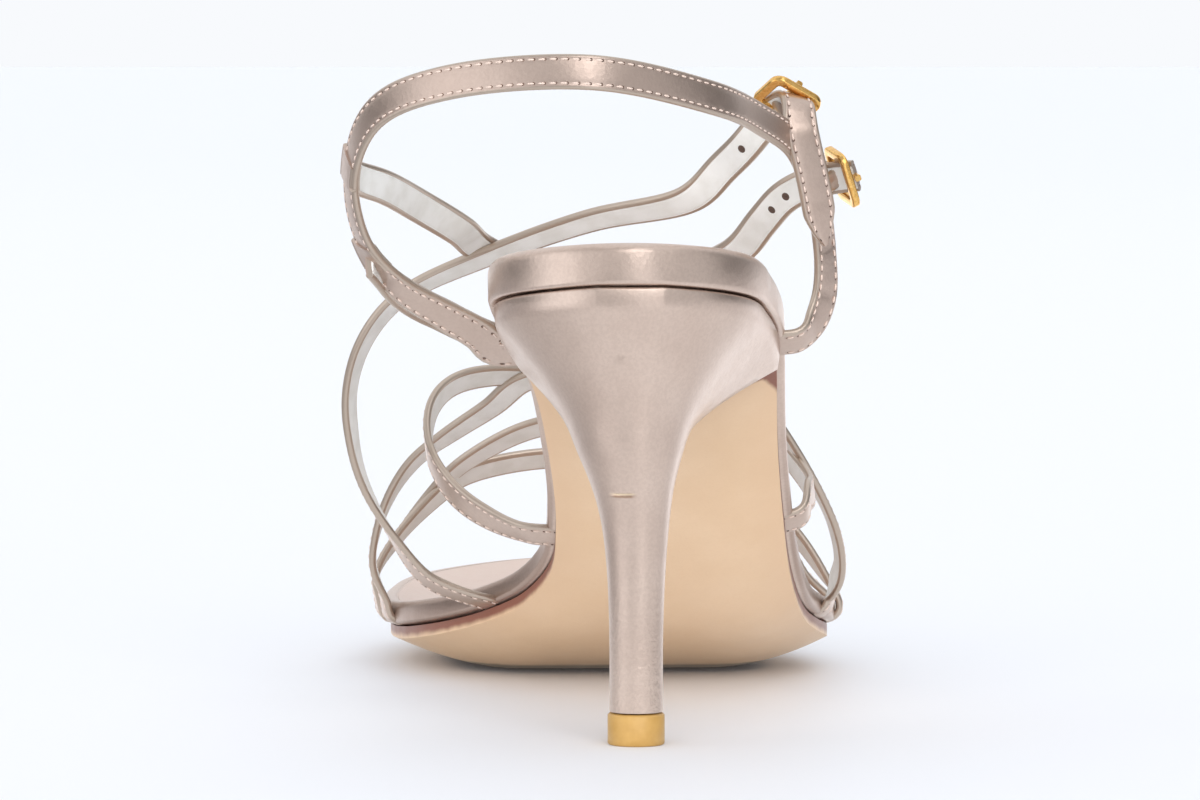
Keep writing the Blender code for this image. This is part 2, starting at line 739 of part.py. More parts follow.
def hide(thing):
    """Marks a helper that only shapes other pieces."""
    thing.hide_render = True
    thing.display_type = "WIRE"
    return thing


def combine(thing, helper, operation):
    """Joins a helper to a piece or cuts it away."""
    step = thing.modifiers.new(operation.lower(), "BOOLEAN")
    step.operation = operation
    step.solver = "EXACT"
    step.object = hide(helper)


class Buckle(NamedTuple):
    """A buckle at a place on a strap, leaning from its face, with its tab's foot on the ankle strap."""

    name: str
    strap: str
    x: float
    y: float
    z: float
    lean: float
    foot: Row


BUCKLES = (
    Buckle("upper_buckle", "medial_cross_strap", 28.0, 43.0, 109.6, 15.0, Row(29.0, 38.2, 101.6, -48, 8)),
    Buckle("lower_buckle", "instep_strap", 37.5, 44.1, 96.6, -46.0, Row(32.9, 42.4, 94.4, -45, 0)),
)


def buckle_axes(buckle):
    """The buckle's middle, and its directions across the strap, along its frame and out of its face."""
    route = dict((name, route) for name, route, _ in STRAPS)[buckle.strap]
    spot = np.array([buckle.x, buckle.y, buckle.z])
    frames = strap_frames(route, STRAP_THICK)
    place, heading, side, normal = min(frames, key=lambda frame: float(np.linalg.norm(frame[0] - spot)))
    lean = math.radians(buckle.lean)
    along = heading * math.cos(lean) + normal * math.sin(lean)
    return place, side, along, normal * math.cos(lean) - heading * math.sin(lean)


def tube(name, path, radius, closed, sides, material):
    """A round bar of the given radius along a path."""
    path = [np.asarray(p, float) for p in path]
    count = len(path)
    centre = np.mean(path, axis=0)
    beside = np.eye(3)[np.argmin(np.abs(path[-1] - path[0]))]
    points, faces = [], []
    for i in range(count):
        after = path[(i + 1) % count] if closed or i < count - 1 else path[i]
        before = path[i - 1] if closed or i > 0 else path[i]
        heading = (after - before) / np.linalg.norm(after - before)
        inward = centre - path[i] if closed else beside
        inward = inward - heading * np.dot(inward, heading)
        inward /= np.linalg.norm(inward)
        other = np.cross(heading, inward)
        for k in range(sides):
            angle = 2 * math.pi * (k + 0.5) / sides
            points.append(path[i] + radius * (math.cos(angle) * inward + math.sin(angle) * other))
    for i in range(count if closed else count - 1):
        j = (i + 1) % count
        for k in range(sides):
            m = (k + 1) % sides
            a, b = i * sides, j * sides
            faces.append((a + k, a + m, b + m, b + k))
    if not closed:
        faces.append(tuple(range(sides)))
        faces.append(tuple(range(len(points) - sides, len(points))))
    return mesh_object(name, points, faces, material)


def buckle_path(buckle):
    """The middle line of the buckle's frame, a rectangle with round corners."""
    place, side, along, _ = buckle_axes(buckle)
    half_side = (BUCKLE_INSIDE + BUCKLE_BAR) / 2
    half_along = (BUCKLE_REACH + BUCKLE_BAR) / 2
    path = []
    for quarter, (a, b) in enumerate(((1, 1), (-1, 1), (-1, -1), (1, -1))):
        centre = place + side * a * (half_side - BUCKLE_CORNER) + along * b * (half_along - BUCKLE_CORNER)
        for degrees in ROUND_STEPS:
            angle = math.radians(90.0 * quarter + degrees)
            path.append(centre + BUCKLE_CORNER * (math.cos(angle) * side + math.sin(angle) * along))
    return path


def hinge_point(buckle):
    """The middle of the bar that the strap passes over first, which the prong turns on."""
    place, _, along, _ = buckle_axes(buckle)
    return place - along * (BUCKLE_REACH + BUCKLE_BAR) / 2


def prong(name, buckle, grow, material):
    """The buckle's prong: an eye round the hinge bar and a pin that rests on the opposite bar."""
    _, side, along, face = buckle_axes(buckle)
    hinge = hinge_point(buckle)
    ring = BUCKLE_BAR / 2 + PIECE_GAP + PRONG_BAR / 2
    eye = []
    for k in range(PRONG_TURN):
        angle = 2 * math.pi * k / PRONG_TURN
        eye.append(hinge + ring * (math.cos(angle) * face + math.sin(angle) * along))
    reach = BUCKLE_REACH + BUCKLE_BAR
    pin = [hinge + face * ring]
    for share, lift in ((0.5, PRONG_DIP), (PRONG_END, 1.0)):
        pin.append(hinge + along * reach * share + face * ring * lift)
    piece = tube(name, eye, PRONG_BAR / 2 + grow, True, PRONG_SIDES, material)
    combine(piece, tube(name + "_pin", pin, PRONG_BAR / 2 + grow, False, PRONG_SIDES, material), "UNION")
    return piece


def tab_frames(buckle):
    """The leather tab that ties a buckle's hinge bar to the ankle strap."""
    _, side, _, _ = buckle_axes(buckle)
    hinge = hinge_point(buckle)
    foot = np.array([buckle.foot.x, buckle.foot.y, buckle.foot.z])
    down = foot - hinge
    down -= side * np.dot(down, side)
    down /= np.linalg.norm(down)
    apart = np.cross(side, down)
    ring = BUCKLE_BAR / 2 + PIECE_GAP + TAB_THICK / 2
    stops = [(foot, apart), (hinge + down * TAB_STRAIGHT + apart * ring, apart)]
    for degrees in TAB_TURN:
        angle = math.radians(degrees)
        way = math.sin(angle) * apart - math.cos(angle) * down
        stops.append((hinge + ring * way, way))
    places = np.array([place for place, _ in stops])
    frames = []
    for place, heading, (_, normal) in zip(places, np.gradient(places, axis=0), stops):
        heading = heading / np.linalg.norm(heading)
        across_tab = np.cross(heading, normal)
        across_tab /= np.linalg.norm(across_tab)
        frames.append((place, heading, across_tab, np.cross(across_tab, heading)))
    return frames


def build_buckles(upper, leather, brass):
    """Both buckles, with their tabs joined to the upper and their room cut out of it."""
    for buckle in BUCKLES:
        tab = ribbon(buckle.name + "_tab", tab_frames(buckle), TAB_WIDTH, TAB_THICK, leather)
        combine(upper, tab, "UNION")
    for buckle in BUCKLES:
        path = buckle_path(buckle)
        tube(buckle.name, path, BUCKLE_BAR / 2, True, FRAME_SIDES, brass)
        room = tube(buckle.name + "_room", path, BUCKLE_BAR / 2 + PIECE_GAP, True, FRAME_SIDES, leather)
        combine(upper, room, "DIFFERENCE")
        prong_name = buckle.name.replace("buckle", "prong")
        prong(prong_name, buckle, 0.0, brass)
        combine(upper, prong(prong_name + "_room", buckle, PIECE_GAP, leather), "DIFFERENCE")


STRAPS = (
    ("ankle_strap", ANKLE_STRAP, False),
    ("lateral_cross_strap", LATERAL_CROSS_STRAP, False),
    ("medial_cross_strap", MEDIAL_CROSS_STRAP, True),
    ("instep_strap", INSTEP_STRAP, False),
    ("lateral_waist_strap", LATERAL_WAIST_STRAP, False),
    ("medial_waist_strap", MEDIAL_WAIST_STRAP, False),
    ("rear_toe_strap", REAR_TOE_STRAP, False),
    ("front_toe_strap", FRONT_TOE_STRAP, False),
)
LOOPS = (("upper_loop", -48.6, 25.0, 97.8), ("lower_loop", -45.3, 33.6, 82.0))


def build_upper(material):
    """All straps as one piece, joined where they cross."""
    upper = None
    ankle = strap_frames(ANKLE_STRAP, STRAP_THICK)
    for name, route, pointed in STRAPS:
        frames = strap_frames(route, STRAP_THICK)
        flare = ANKLE_FLARE if upper is None else 0.0
        label = "upper" if upper is None else name
        strap = ribbon(label, frames, STRAP_WIDTH, STRAP_THICK, material, pointed, flare)
        if upper is None:
            upper = strap
        else:
            combine(upper, strap, "UNION")
    for name, x, y, z in LOOPS:
        near = min(range(len(ankle)), key=lambda i: float(np.linalg.norm(ankle[i][0] - np.array([x, y, z]))))
        place, heading, side, normal = ankle[near]
        half = LOOP_LENGTH / 2
        frames = [(place + heading * step, heading, side, normal) for step in (-half, half)]
        wrap = 2 * LOOP_WRAP
        combine(upper, ribbon(name, frames, STRAP_WIDTH + wrap, STRAP_THICK + wrap, material), "UNION")
    return upper


def cut_seam_pockets(insole, material):
    """Cuts the pocket for each strap end under the insole's edge."""
    for name, route, _ in STRAPS:
        for stop in (route[0], route[-1]):
            if isinstance(stop, SeamEnd):
                frames = strap_frames((stop,), STRAP_THICK)
                first = (frames[0][0] - frames[0][1] * PIECE_GAP,) + frames[0][1:]
                room = 2 * PIECE_GAP
                if name == "ankle_strap":
                    room += ANKLE_FLARE
                frames = [first] + frames[1:]
                pocket = ribbon("pocket", frames, STRAP_WIDTH + room, STRAP_THICK + 2 * PIECE_GAP, material)
                combine(insole, pocket, "DIFFERENCE")


def stand_in_the_middle():
    """Carries all pieces on a root empty, so that the middle of the shoe's footprint is the origin."""
    bpy.context.view_layer.update()
    graph = bpy.context.evaluated_depsgraph_get()
    things = list(bpy.data.objects)
    boxes = [np.array(thing.evaluated_get(graph).bound_box) for thing in things if not thing.hide_render]
    corners = np.concatenate(boxes)
    middle = (corners.min(axis=0) + corners.max(axis=0)) / 2
    root = bpy.data.objects.new("root", None)
    bpy.context.scene.collection.objects.link(root)
    root.location = (-middle[0], -middle[1], 0.0)
    for thing in things:
        thing.parent = root


def main():
    for thing in list(bpy.data.objects):
        bpy.data.objects.remove(thing)
    metallic_leather = finish("metallic_leather", (0.62, 0.48, 0.41), 0.38, 0.55)
    sole_leather = finish("sole_leather", (0.72, 0.47, 0.25), 0.5, 0.0)
    tip_rubber = finish("tip_rubber", (0.62, 0.42, 0.14), 0.55, 0.0)
    buckle_brass = finish("buckle_brass", (0.78, 0.55, 0.2), 0.2, 1.0)
    insole = build_insole(metallic_leather)
    cut_seam_pockets(insole, metallic_leather)
    upper = build_upper(metallic_leather)
    build_buckles(upper, metallic_leather, buckle_brass)
    build_outsole(sole_leather)
    build_heel(metallic_leather)
    build_heel_tip(tip_rubber)
    stand_in_the_middle()


main()
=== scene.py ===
"""Looks of a strappy metallic leather sandal for a right foot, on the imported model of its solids.

Shapes are worked out in millimetres in the shoe's own frame: X runs to the lateral side, Y from the
heel's back to the toe, Z up from the floor. placed() turns them to metres in the row frame.
"""

import math
from typing import NamedTuple

import bmesh
import bpy
import numpy as np
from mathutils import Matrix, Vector


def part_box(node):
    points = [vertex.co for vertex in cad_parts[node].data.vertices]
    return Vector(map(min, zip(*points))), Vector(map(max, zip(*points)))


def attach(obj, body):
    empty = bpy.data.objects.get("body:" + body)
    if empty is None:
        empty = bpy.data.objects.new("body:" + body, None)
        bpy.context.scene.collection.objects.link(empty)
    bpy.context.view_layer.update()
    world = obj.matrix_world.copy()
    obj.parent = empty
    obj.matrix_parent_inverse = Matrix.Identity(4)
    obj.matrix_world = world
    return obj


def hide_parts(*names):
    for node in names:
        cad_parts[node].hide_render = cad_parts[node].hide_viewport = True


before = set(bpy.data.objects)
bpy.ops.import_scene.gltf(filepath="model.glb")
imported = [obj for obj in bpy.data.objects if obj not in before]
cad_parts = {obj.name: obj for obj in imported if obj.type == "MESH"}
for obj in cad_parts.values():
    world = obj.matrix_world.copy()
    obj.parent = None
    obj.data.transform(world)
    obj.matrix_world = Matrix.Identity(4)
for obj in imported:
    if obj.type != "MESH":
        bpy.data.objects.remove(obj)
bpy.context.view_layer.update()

MM = 0.001

# The heel tip's middle in the shoe's frame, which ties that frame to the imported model
HEEL_TIP_MIDDLE = (-0.2, 17.6)
tip_low, tip_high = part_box("heel_tip")
SHIFT = np.array([
    (tip_low[0] + tip_high[0]) / 2 / MM - HEEL_TIP_MIDDLE[0],
    (tip_low[1] + tip_high[1]) / 2 / MM - HEEL_TIP_MIDDLE[1],
    0.0,
])

# Sizes of the sole unit
SHOE_LENGTH = 223.0
HEEL_ROUND = 25.0
TOE_ROUND = 34.0
TOE_SQUARE = 2.3
BREAST = 45.0
BREAST_BULGE = 9.5
BREAST_NARROW = 2.5
SEAM_GAP = 0.4
PIECE_GAP = 0.3
OUTSOLE_EDGE = 1.8
HEEL_EDGE = 0.5
# Steps round the heel's upper edge, as shares of HEEL_EDGE inwards and down
HEEL_EDGE_STEPS = ((0.0, 1.0), (0.3, 0.3), (1.0, 0.0))
CORNER_FROM = 0.3
CORNER_LONG = 7.0
CORNER_STAIN = 4.4
OUTSOLE_INSET = 1.5
SOLE_TIP_HALF = 0.3
OUTSOLE_TOE = 0.9995
TREAD_FLAT = 0.42
INSOLE_ROUND = 2.0
INSOLE_FOOT_INSET = 0.6
INSOLE_FOOT_SHARE = 0.12
HEEL_INSET = 0.9
HEEL_FLARE = 1.5
HEEL_MIDDLE = 0.48
HEEL_SQUARE = 0.9
HEEL_LIP = 3.0
HEEL_LIP_SHARE = 0.985
SEAT_CORNER = 0.25
HEEL_TIP_HEIGHT = 5.4
HEEL_TIP_OVERHANG = 0.3
HEEL_TIP_BEVEL = 0.35

# Sizes of the straps
STRAP_WIDTH = 6.0
STRAP_THICK = 1.3
STRAP_CROWN = 0.12
STRAP_BITE = 0.1
# How much its edges are rounded, at most by a share of the thickness, and the degrees at which they are drawn
STRAP_ROUND = 0.55
STRAP_ROUND_MOST = 0.45
EDGE_OUTER = (22.5, 45.0, 67.5, 90.0)
EDGE_INNER = (0.0, 30.0, 60.0)
# How far in from the edge the leather is folded and the lining begins, and a place farther in
LINING_FOLD = 0.1
LINING_FROM = 0.35
LINING_SPAN = 0.4
# How the ends are held in the seam
TUCK = 6.0
STRAIGHT = 0.0
TIGHT = 0.6
WIDE = 2.4
SEAM_SEAT = 0.3
SEAM_RUN = 2.5
SEAM_RISE = 2.0
SEAM_TURN = (0.0, 35.0, 65.0, 90.0)
# Pointed and flared ends, and loops
TAIL_POINT = 6.0
TAIL_TIP = 0.12
TAIL_ROUND = 0.6
ANKLE_FLARE = 2.0
ANKLE_FLARE_MEDIAL = 5.0
FLARE_REACH = 24.0
FLARE_CURVE = 1.6
STRAIGHT_ENDS = (0.0, 0.0)
LOOP_WRAP = 0.3
LOOP_AHEAD = 0.7
LOOP_LENGTH = 4.6

# Sewing on the straps: a row of thread along each edge
STITCH_INSET = 0.95
STITCH_PITCH = 1.87
STITCH_LENGTH = 1.3
THREAD = 0.17
STITCH_TROUGH = 0.1
TROUGH_SHOULDER = 0.02
TROUGH_OUT = 0.3
TROUGH_IN = 0.35
TROUGH_FADE = 0.9
THREAD_SIDES = 6
THREAD_DIVE = 0.8
# The thread's girth along half a stitch to either side of its middle
THREAD_GIRTHS = ((-1.0, 0.25), (-0.75, 0.75), (-0.3, 1.0), (0.3, 1.0), (0.75, 0.75), (1.0, 0.25))
TAIL_SEWN = 0.6

# Sizes of the buckles
BUCKLE_INSIDE = 6.9
BUCKLE_REACH = 5.8
BUCKLE_BAR = 1.7
BUCKLE_PLATE = 1.3
BUCKLE_CORNER = 1.4
PRONG_BAR = 1.1
PRONG_EYE = range(-250, 1, 10)
# The prong's length and height as shares of the frame's and of its eye's
PRONG_SHAPE = ((0.25, 0.97), (0.5, 0.95), (0.75, 0.97), (0.98, 1.0))
BAR_SOFT = 0.45
BAR_CHAMFER = 0.3
TAB_WIDTH = 3.6
TAB_THICK = 1.2
TAB_STRAIGHT = 3.2
TAB_TURN = (90.0, 55.0, 20.0, -15.0, -50.0, -85.0)

# How finely the pieces are drawn
SHARP_ANGLE = 50.0
QUARTER_TURN = range(0, 91, 10)
STRAP_STEP = 0.9
STRAP_EASE = 4
FACING_EASE = 14
OUTLINE_STEPS = 150
INSOLE_COLUMNS = 24
OUTSOLE_ROWS = 120
OUTSOLE_COLUMNS = 36
HEEL_SIDES = 96
HEEL_LEVELS = 44
HEEL_FLARES = 26
HEEL_EASE = 10


class Section(NamedTuple):
    """A crosswise section of the sole at a distance y from the heel's back."""

    y: float
    medial: float
    lateral: float
    seam: float
    cup: float
    tread: float
    insole: float


# medial and lateral: the insole's edges. seam: height of the edge where insole and outsole meet.
# cup: how much lower the insole's middle hangs. tread: the outsole's underside in the middle.
# insole: the insole's thickness.
SOLE = (
    Section(0.0, -25.0, 20.5, 79.2, 0.0, 74.0, 7.3),
    Section(25.0, -25.2, 23.4, 74.4, 0.4, 70.0, 7.2),
    Section(33.0, -24.0, 25.6, 71.8, 0.6, 67.5, 7.0),
    Section(40.0, -22.2, 27.2, 68.9, 0.8, 65.0, 6.7),
    Section(48.0, -18.8, 28.0, 63.8, 1.0, 59.6, 6.2),
    Section(66.0, -14.3, 29.8, 48.7, 1.2, 44.4, 5.4),
    Section(83.0, -12.2, 32.4, 33.9, 1.5, 29.3, 5.0),
    Section(95.0, -12.8, 34.5, 24.9, 1.9, 19.9, 4.8),
    Section(106.0, -17.6, 37.0, 18.2, 2.4, 12.6, 4.6),
    Section(115.0, -23.8, 39.2, 14.5, 3.0, 8.3, 4.5),
    Section(125.0, -30.0, 42.2, 11.8, 3.6, 4.9, 4.5),
    Section(135.0, -34.8, 44.8, 10.0, 4.0, 2.2, 4.5),
    Section(150.0, -38.9, 46.0, 8.3, 4.3, -0.3, 4.5),
    Section(165.0, -40.2, 43.6, 7.7, 4.0, -0.4, 4.5),
    Section(180.0, -39.4, 38.0, 8.1, 3.5, 0.9, 4.5),
    Section(200.0, -34.5, 30.5, 9.6, 2.4, 3.6, 4.5),
    Section(223.0, -26.0, 21.0, 12.0, 1.2, 7.6, 4.5),
)


class HeelLevel(NamedTuple):
    """A level section of the heel's column, z above the floor."""

    z: float
    back: float
    front: float
    medial: float
    lateral: float


HEEL = (
    HeelLevel(5.7, 12.6, 22.6, -4.8, 4.4),
    HeelLevel(18.0, 12.4, 22.8, -4.8, 4.4),
    HeelLevel(31.0, 11.6, 23.8, -5.3, 4.9),
    HeelLevel(38.0, 10.8, 25.6, -6.1, 5.5),
    HeelLevel(45.0, 9.4, 29.6, -8.0, 6.5),
    HeelLevel(51.0, 7.8, 35.5, -10.7, 8.4),
)


def placed(points):
    """Points from millimetres in the shoe's frame to metres in the row frame."""
    return (np.asarray(points, float) + SHIFT) * MM


def hermite(xs, ys):
    """A smooth curve through a table, with each slope taken from its neighbours."""
    xs = np.asarray(xs, float)
    ys = np.asarray(ys, float)
    slopes = np.gradient(ys, xs)

    def at(x):
        i = np.clip(np.searchsorted(xs, x) - 1, 0, len(xs) - 2)
        span = xs[i + 1] - xs[i]
        t = np.clip((x - xs[i]) / span, 0.0, 1.0)
        rest = 1.0 - t
        start = (1 + 2 * t) * rest**2 * ys[i] + t * rest**2 * span * slopes[i]
        end = t**2 * (3 - 2 * t) * ys[i + 1] - t**2 * rest * span * slopes[i + 1]
        return start + end

    return at


SOLE_Y, *SOLE_COLUMNS = np.array(SOLE).T
medial_edge, lateral_edge, seam_height, cup_depth, tread_height, insole_thickness = (
    hermite(SOLE_Y, column) for column in SOLE_COLUMNS
)


def sole_middle(y):
    """The middle between the sole's edges, before its ends are rounded."""
    return (medial_edge(y) + lateral_edge(y)) / 2


def sole_half(y):
    """Half the way between the sole's edges, before its ends are rounded."""
    return (lateral_edge(y) - medial_edge(y)) / 2


def end_round(y):
    """Narrows the sole to a round heel and a round toe."""
    heel = 1.0 - np.clip(y / HEEL_ROUND, 0.0, 1.0)
    toe = 1.0 - np.clip((SHOE_LENGTH - y) / TOE_ROUND, 0.0, 1.0)
    return np.sqrt(np.clip(1.0 - heel**2, 0.0, 1.0)) * np.sqrt(np.clip(1.0 - toe**TOE_SQUARE, 0.0, 1.0))


def across(x, y):
    """Where x lies between the sole's edges, from -1 at the medial edge to 1 at the lateral one."""
    return (x - sole_middle(y)) / sole_half(y)


def slope_normal(y):
    """The direction square to the sole, leaning towards the toe where the sole falls."""
    fall = (seam_height(y - 1.0) - seam_height(y + 1.0)) / 2.0
    length = math.hypot(fall, 1.0)
    return np.array([0.0, fall / length, 1.0 / length])


def bed(x, y):
    """Height of the surface that insole and outsole share."""
    return seam_height(y) - cup_depth(y) * (1.0 - np.clip(across(x, y), -1.0, 1.0) ** 2)


def underfoot(x, y):
    """Height of the outsole's underside: flat in the middle of the tread and feathered to a thin edge."""
    middle = max(0.0, float(tread_height(y)))
    share = max(0.0, abs(float(across(x, y))) - TREAD_FLAT) / (1.0 - TREAD_FLAT)
    return middle + (seam_height(y) - OUTSOLE_EDGE - middle) * min(1.0, share) ** 2


def piece(name, points, faces, material, node, marks=None):
    """A shown piece that stands for a CAD node, with named numbers kept on its points for its material."""
    mesh = bpy.data.meshes.new(name)
    mesh.from_pydata(placed(points).tolist(), [], faces)
    for mark, values in (marks or {}).items():
        values = np.asarray(values, np.float32)
        kind = "FLOAT_VECTOR" if values.ndim == 2 else "FLOAT"
        layer = mesh.attributes.new(mark, kind, "POINT")
        layer.data.foreach_set("vector" if values.ndim == 2 else "value", values.ravel())
    tidy = bmesh.new()
    tidy.from_mesh(mesh)
    bmesh.ops.recalc_face_normals(tidy, faces=tidy.faces)
    tidy.to_mesh(mesh)
    tidy.free()
    mesh.shade_smooth()
    mesh.set_sharp_from_angle(angle=math.radians(SHARP_ANGLE))
    thing = bpy.data.objects.new(name, mesh)
    mesh.materials.append(material)
    bpy.context.scene.collection.objects.link(thing)
    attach(thing, "root")
    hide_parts(node)
    return thing


def rings_to_faces(starts, count):
    """Faces between closed rings of points that begin at the given places."""
    faces = []
    for low, high in zip(starts, starts[1:]):
        for i in range(count):
            j = (i + 1) % count
            faces.append((low + i, low + j, high + j, high + i))
    return faces


def tube_faces(rings, count):
    """Faces of a closed tube: so many rings of as many points each, and a cap at both ends."""
    faces = rings_to_faces([r * count for r in range(rings)], count)
    faces.append(tuple(range(count)))
    faces.append(tuple(range((rings - 1) * count, rings * count)))
    return faces


def outline(inset):
    """The insole's plan as a closed loop from the heel, up the medial side to the toe and back."""
    turn = np.pi * np.arange(OUTLINE_STEPS + 1) / OUTLINE_STEPS
    y = SHOE_LENGTH * (1.0 - np.cos(turn)) / 2.0
    half = sole_half(y) * end_round(y)
    medial = np.stack([sole_middle(y) - half, y], axis=1)
    lateral = np.stack([sole_middle(y) + half, y], axis=1)
    loop = np.concatenate([medial, lateral[-2:0:-1]])
    along = np.roll(loop, -1, axis=0) - np.roll(loop, 1, axis=0)
    along /= np.linalg.norm(along, axis=1)[:, None]
    inward = np.stack([along[:, 1], -along[:, 0]], axis=1)
    return loop + inset * inward


def insole_point(x, y, lift):
    """A point of the insole, lifted square to the sole from its underside."""
    base = np.array([x, y, bed(x, y) + SEAM_GAP])
    return base + lift * slope_normal(y)


def fill_loop(points, stations, inside, faces, loop_start, lift):
    """Closes a plan loop with rows of points from its medial to its lateral side."""
    count = 2 * OUTLINE_STEPS
    rows = []
    for i in range(1, OUTLINE_STEPS):
        left = points[loop_start + i]
        right = points[loop_start + count - i]
        y = (stations[loop_start + i] + stations[loop_start + count - i]) / 2
        row = [loop_start + i]
        for column in range(1, INSOLE_COLUMNS):
            share = (1.0 - math.cos(math.pi * column / INSOLE_COLUMNS)) / 2.0
            x = left[0] + (right[0] - left[0]) * share
            row.append(len(points))
            points.append(insole_point(x, y, lift * insole_thickness(y)))
            stations.append(y)
            inside.append(inside[loop_start] + min(x - left[0], right[0] - x))
        row.append(loop_start + count - i)
        rows.append(row)
    for lower, upper in zip(rows, rows[1:]):
        for a, b, c, d in zip(lower, lower[1:], upper[1:], upper):
            faces.append((a, b, c, d))
    for tip, row in ((loop_start, rows[0]), (loop_start + OUTLINE_STEPS, rows[-1])):
        for a, b in zip(row, row[1:]):
            faces.append((tip, a, b))


def make_insole(material):
    """The leather-wrapped insole: a padded board with a rounded upper edge."""
    points, stations, inside, starts = [], [], [], []
    steps = [
        ("low", INSOLE_FOOT_INSET, 0.0),
        ("low", INSOLE_FOOT_INSET / 4, INSOLE_FOOT_SHARE / 3),
        ("low", 0.0, INSOLE_FOOT_SHARE),
    ]
    for degrees in QUARTER_TURN:
        angle = math.radians(degrees)
        steps.append(("high", INSOLE_ROUND * (1 - math.cos(angle)), INSOLE_ROUND * (1 - math.sin(angle))))
    for kind, inset, drop in steps:
        starts.append(len(points))
        for x, y in outline(inset):
            thick = float(insole_thickness(y))
            lift = drop * thick if kind == "low" else thick - drop
            points.append(insole_point(x, y, lift))
            stations.append(y)
            inside.append(inset if kind == "high" else 0.0)
    faces = rings_to_faces(starts, 2 * OUTLINE_STEPS)
    fill_loop(points, stations, inside, faces, starts[0], 0.0)
    fill_loop(points, stations, inside, faces, starts[-1], 1.0)
    return piece("wrapped_insole", points, faces, material, "insole", {"inside": inside})


def breast_line(x):
    """Where the heel's front edge runs: furthest forward in the middle."""
    return BREAST + BREAST_BULGE * (1.0 - np.clip(across(x, BREAST), -1.0, 1.0) ** 2) ** BREAST_NARROW


def sole_x(share, y, inset):
    """A point across the sole, share going from -1 at the medial edge to 1 at the lateral one."""
    half = sole_half(y) * end_round(y) - inset
    return sole_middle(y) + share * max(half, SOLE_TIP_HALF)


def make_outsole(material):
    """The leather outsole from the heel's front edge to the toe, with a feathered and stained edge."""
    turn = np.pi * np.arange(OUTSOLE_ROWS + 1) / OUTSOLE_ROWS
    travel = np.where(turn < np.pi / 2, turn / np.pi, (1.0 - np.cos(turn)) / 2.0)
    travel[-1] = OUTSOLE_TOE
    shares = np.sin(np.pi / 2 * np.linspace(-1.0, 1.0, OUTSOLE_COLUMNS + 1))
    points, faces, rim = [], [], []

    def layer(height, top):
        start = len(points)
        for t in travel:
            for share in shares:
                rear = breast_line(sole_x(share, BREAST, OUTSOLE_INSET))
                rear = breast_line(sole_x(share, rear, OUTSOLE_INSET)) + PIECE_GAP
                y = rear + (SHOE_LENGTH - OUTSOLE_INSET - rear) * t
                x = sole_x(share, y, OUTSOLE_INSET)
                points.append((x, y, height(x, y)))
                ends = min(y - rear, SHOE_LENGTH - OUTSOLE_INSET - y)
                inward = min(abs(x - sole_x(math.copysign(1.0, share), y, OUTSOLE_INSET)), ends)
                corner = np.clip((share - CORNER_FROM) / (1.0 - CORNER_FROM), 0.0, 1.0)
                corner *= np.clip(1.0 - (y - rear) / CORNER_LONG, 0.0, 1.0)
                rim.append(0.0 if top else max(OUTSOLE_EDGE + inward - CORNER_STAIN * corner, 0.0))
        return start

    upper = layer(bed, True)
    lower = layer(underfoot, False)
    wide = OUTSOLE_COLUMNS + 1
    rows = OUTSOLE_ROWS + 1
    for r in range(rows - 1):
        for c in range(OUTSOLE_COLUMNS):
            a = r * wide + c
            faces.append((upper + a, upper + a + 1, upper + a + wide + 1, upper + a + wide))
            faces.append((lower + a + wide, lower + a + wide + 1, lower + a + 1, lower + a))
    edge = list(range(wide))
    edge += [r * wide + OUTSOLE_COLUMNS for r in range(1, rows)]
    edge += [(rows - 1) * wide + c for c in range(OUTSOLE_COLUMNS - 1, -1, -1)]
    edge += [r * wide for r in range(rows - 2, 0, -1)]
    for a, b in zip(edge, edge[1:] + edge[:1]):
        faces.append((upper + b, upper + a, lower + a, lower + b))
    return piece("leather_outsole", points, faces, material, "outsole", {"rim": rim})


def heel_ring(back, front, medial, lateral):
    """A level, egg-shaped ring, from the back and round by the lateral side."""
    ring = []
    middle = back + (front - back) * HEEL_MIDDLE
    for i in range(HEEL_SIDES):
        angle = 2 * math.pi * i / HEEL_SIDES
        side = math.sin(angle)
        depth = -math.cos(angle)
        x = (medial + lateral) / 2 + (lateral - medial) / 2 * math.copysign(abs(side) ** HEEL_SQUARE, side)
        y = middle + (depth * (middle - back) if depth < 0 else depth * (front - middle))
        ring.append((x, y))
    return ring


def seat_ring():
    """The heel's upper edge: the insole's plan, drawn in a little and closed by the breast line."""
    ring = []
    for i in range(HEEL_SIDES):
        angle = 2 * math.pi * i / HEEL_SIDES
        side = math.sin(angle)
        depth = -math.cos(angle)
        if depth < SEAT_CORNER:
            y = HEEL_INSET + (BREAST - HEEL_INSET) * (depth + 1.0) / (SEAT_CORNER + 1.0)
            half = sole_half(y) * end_round(y) - HEEL_INSET
            x = sole_middle(y) + np.sign(round(side, 6)) * max(half, 0.0)
        else:
            x = sole_x(side / math.sqrt(1.0 - SEAT_CORNER**2), BREAST, HEEL_INSET)
            y = breast_line(x)
        ring.append((x, y))
    return ring


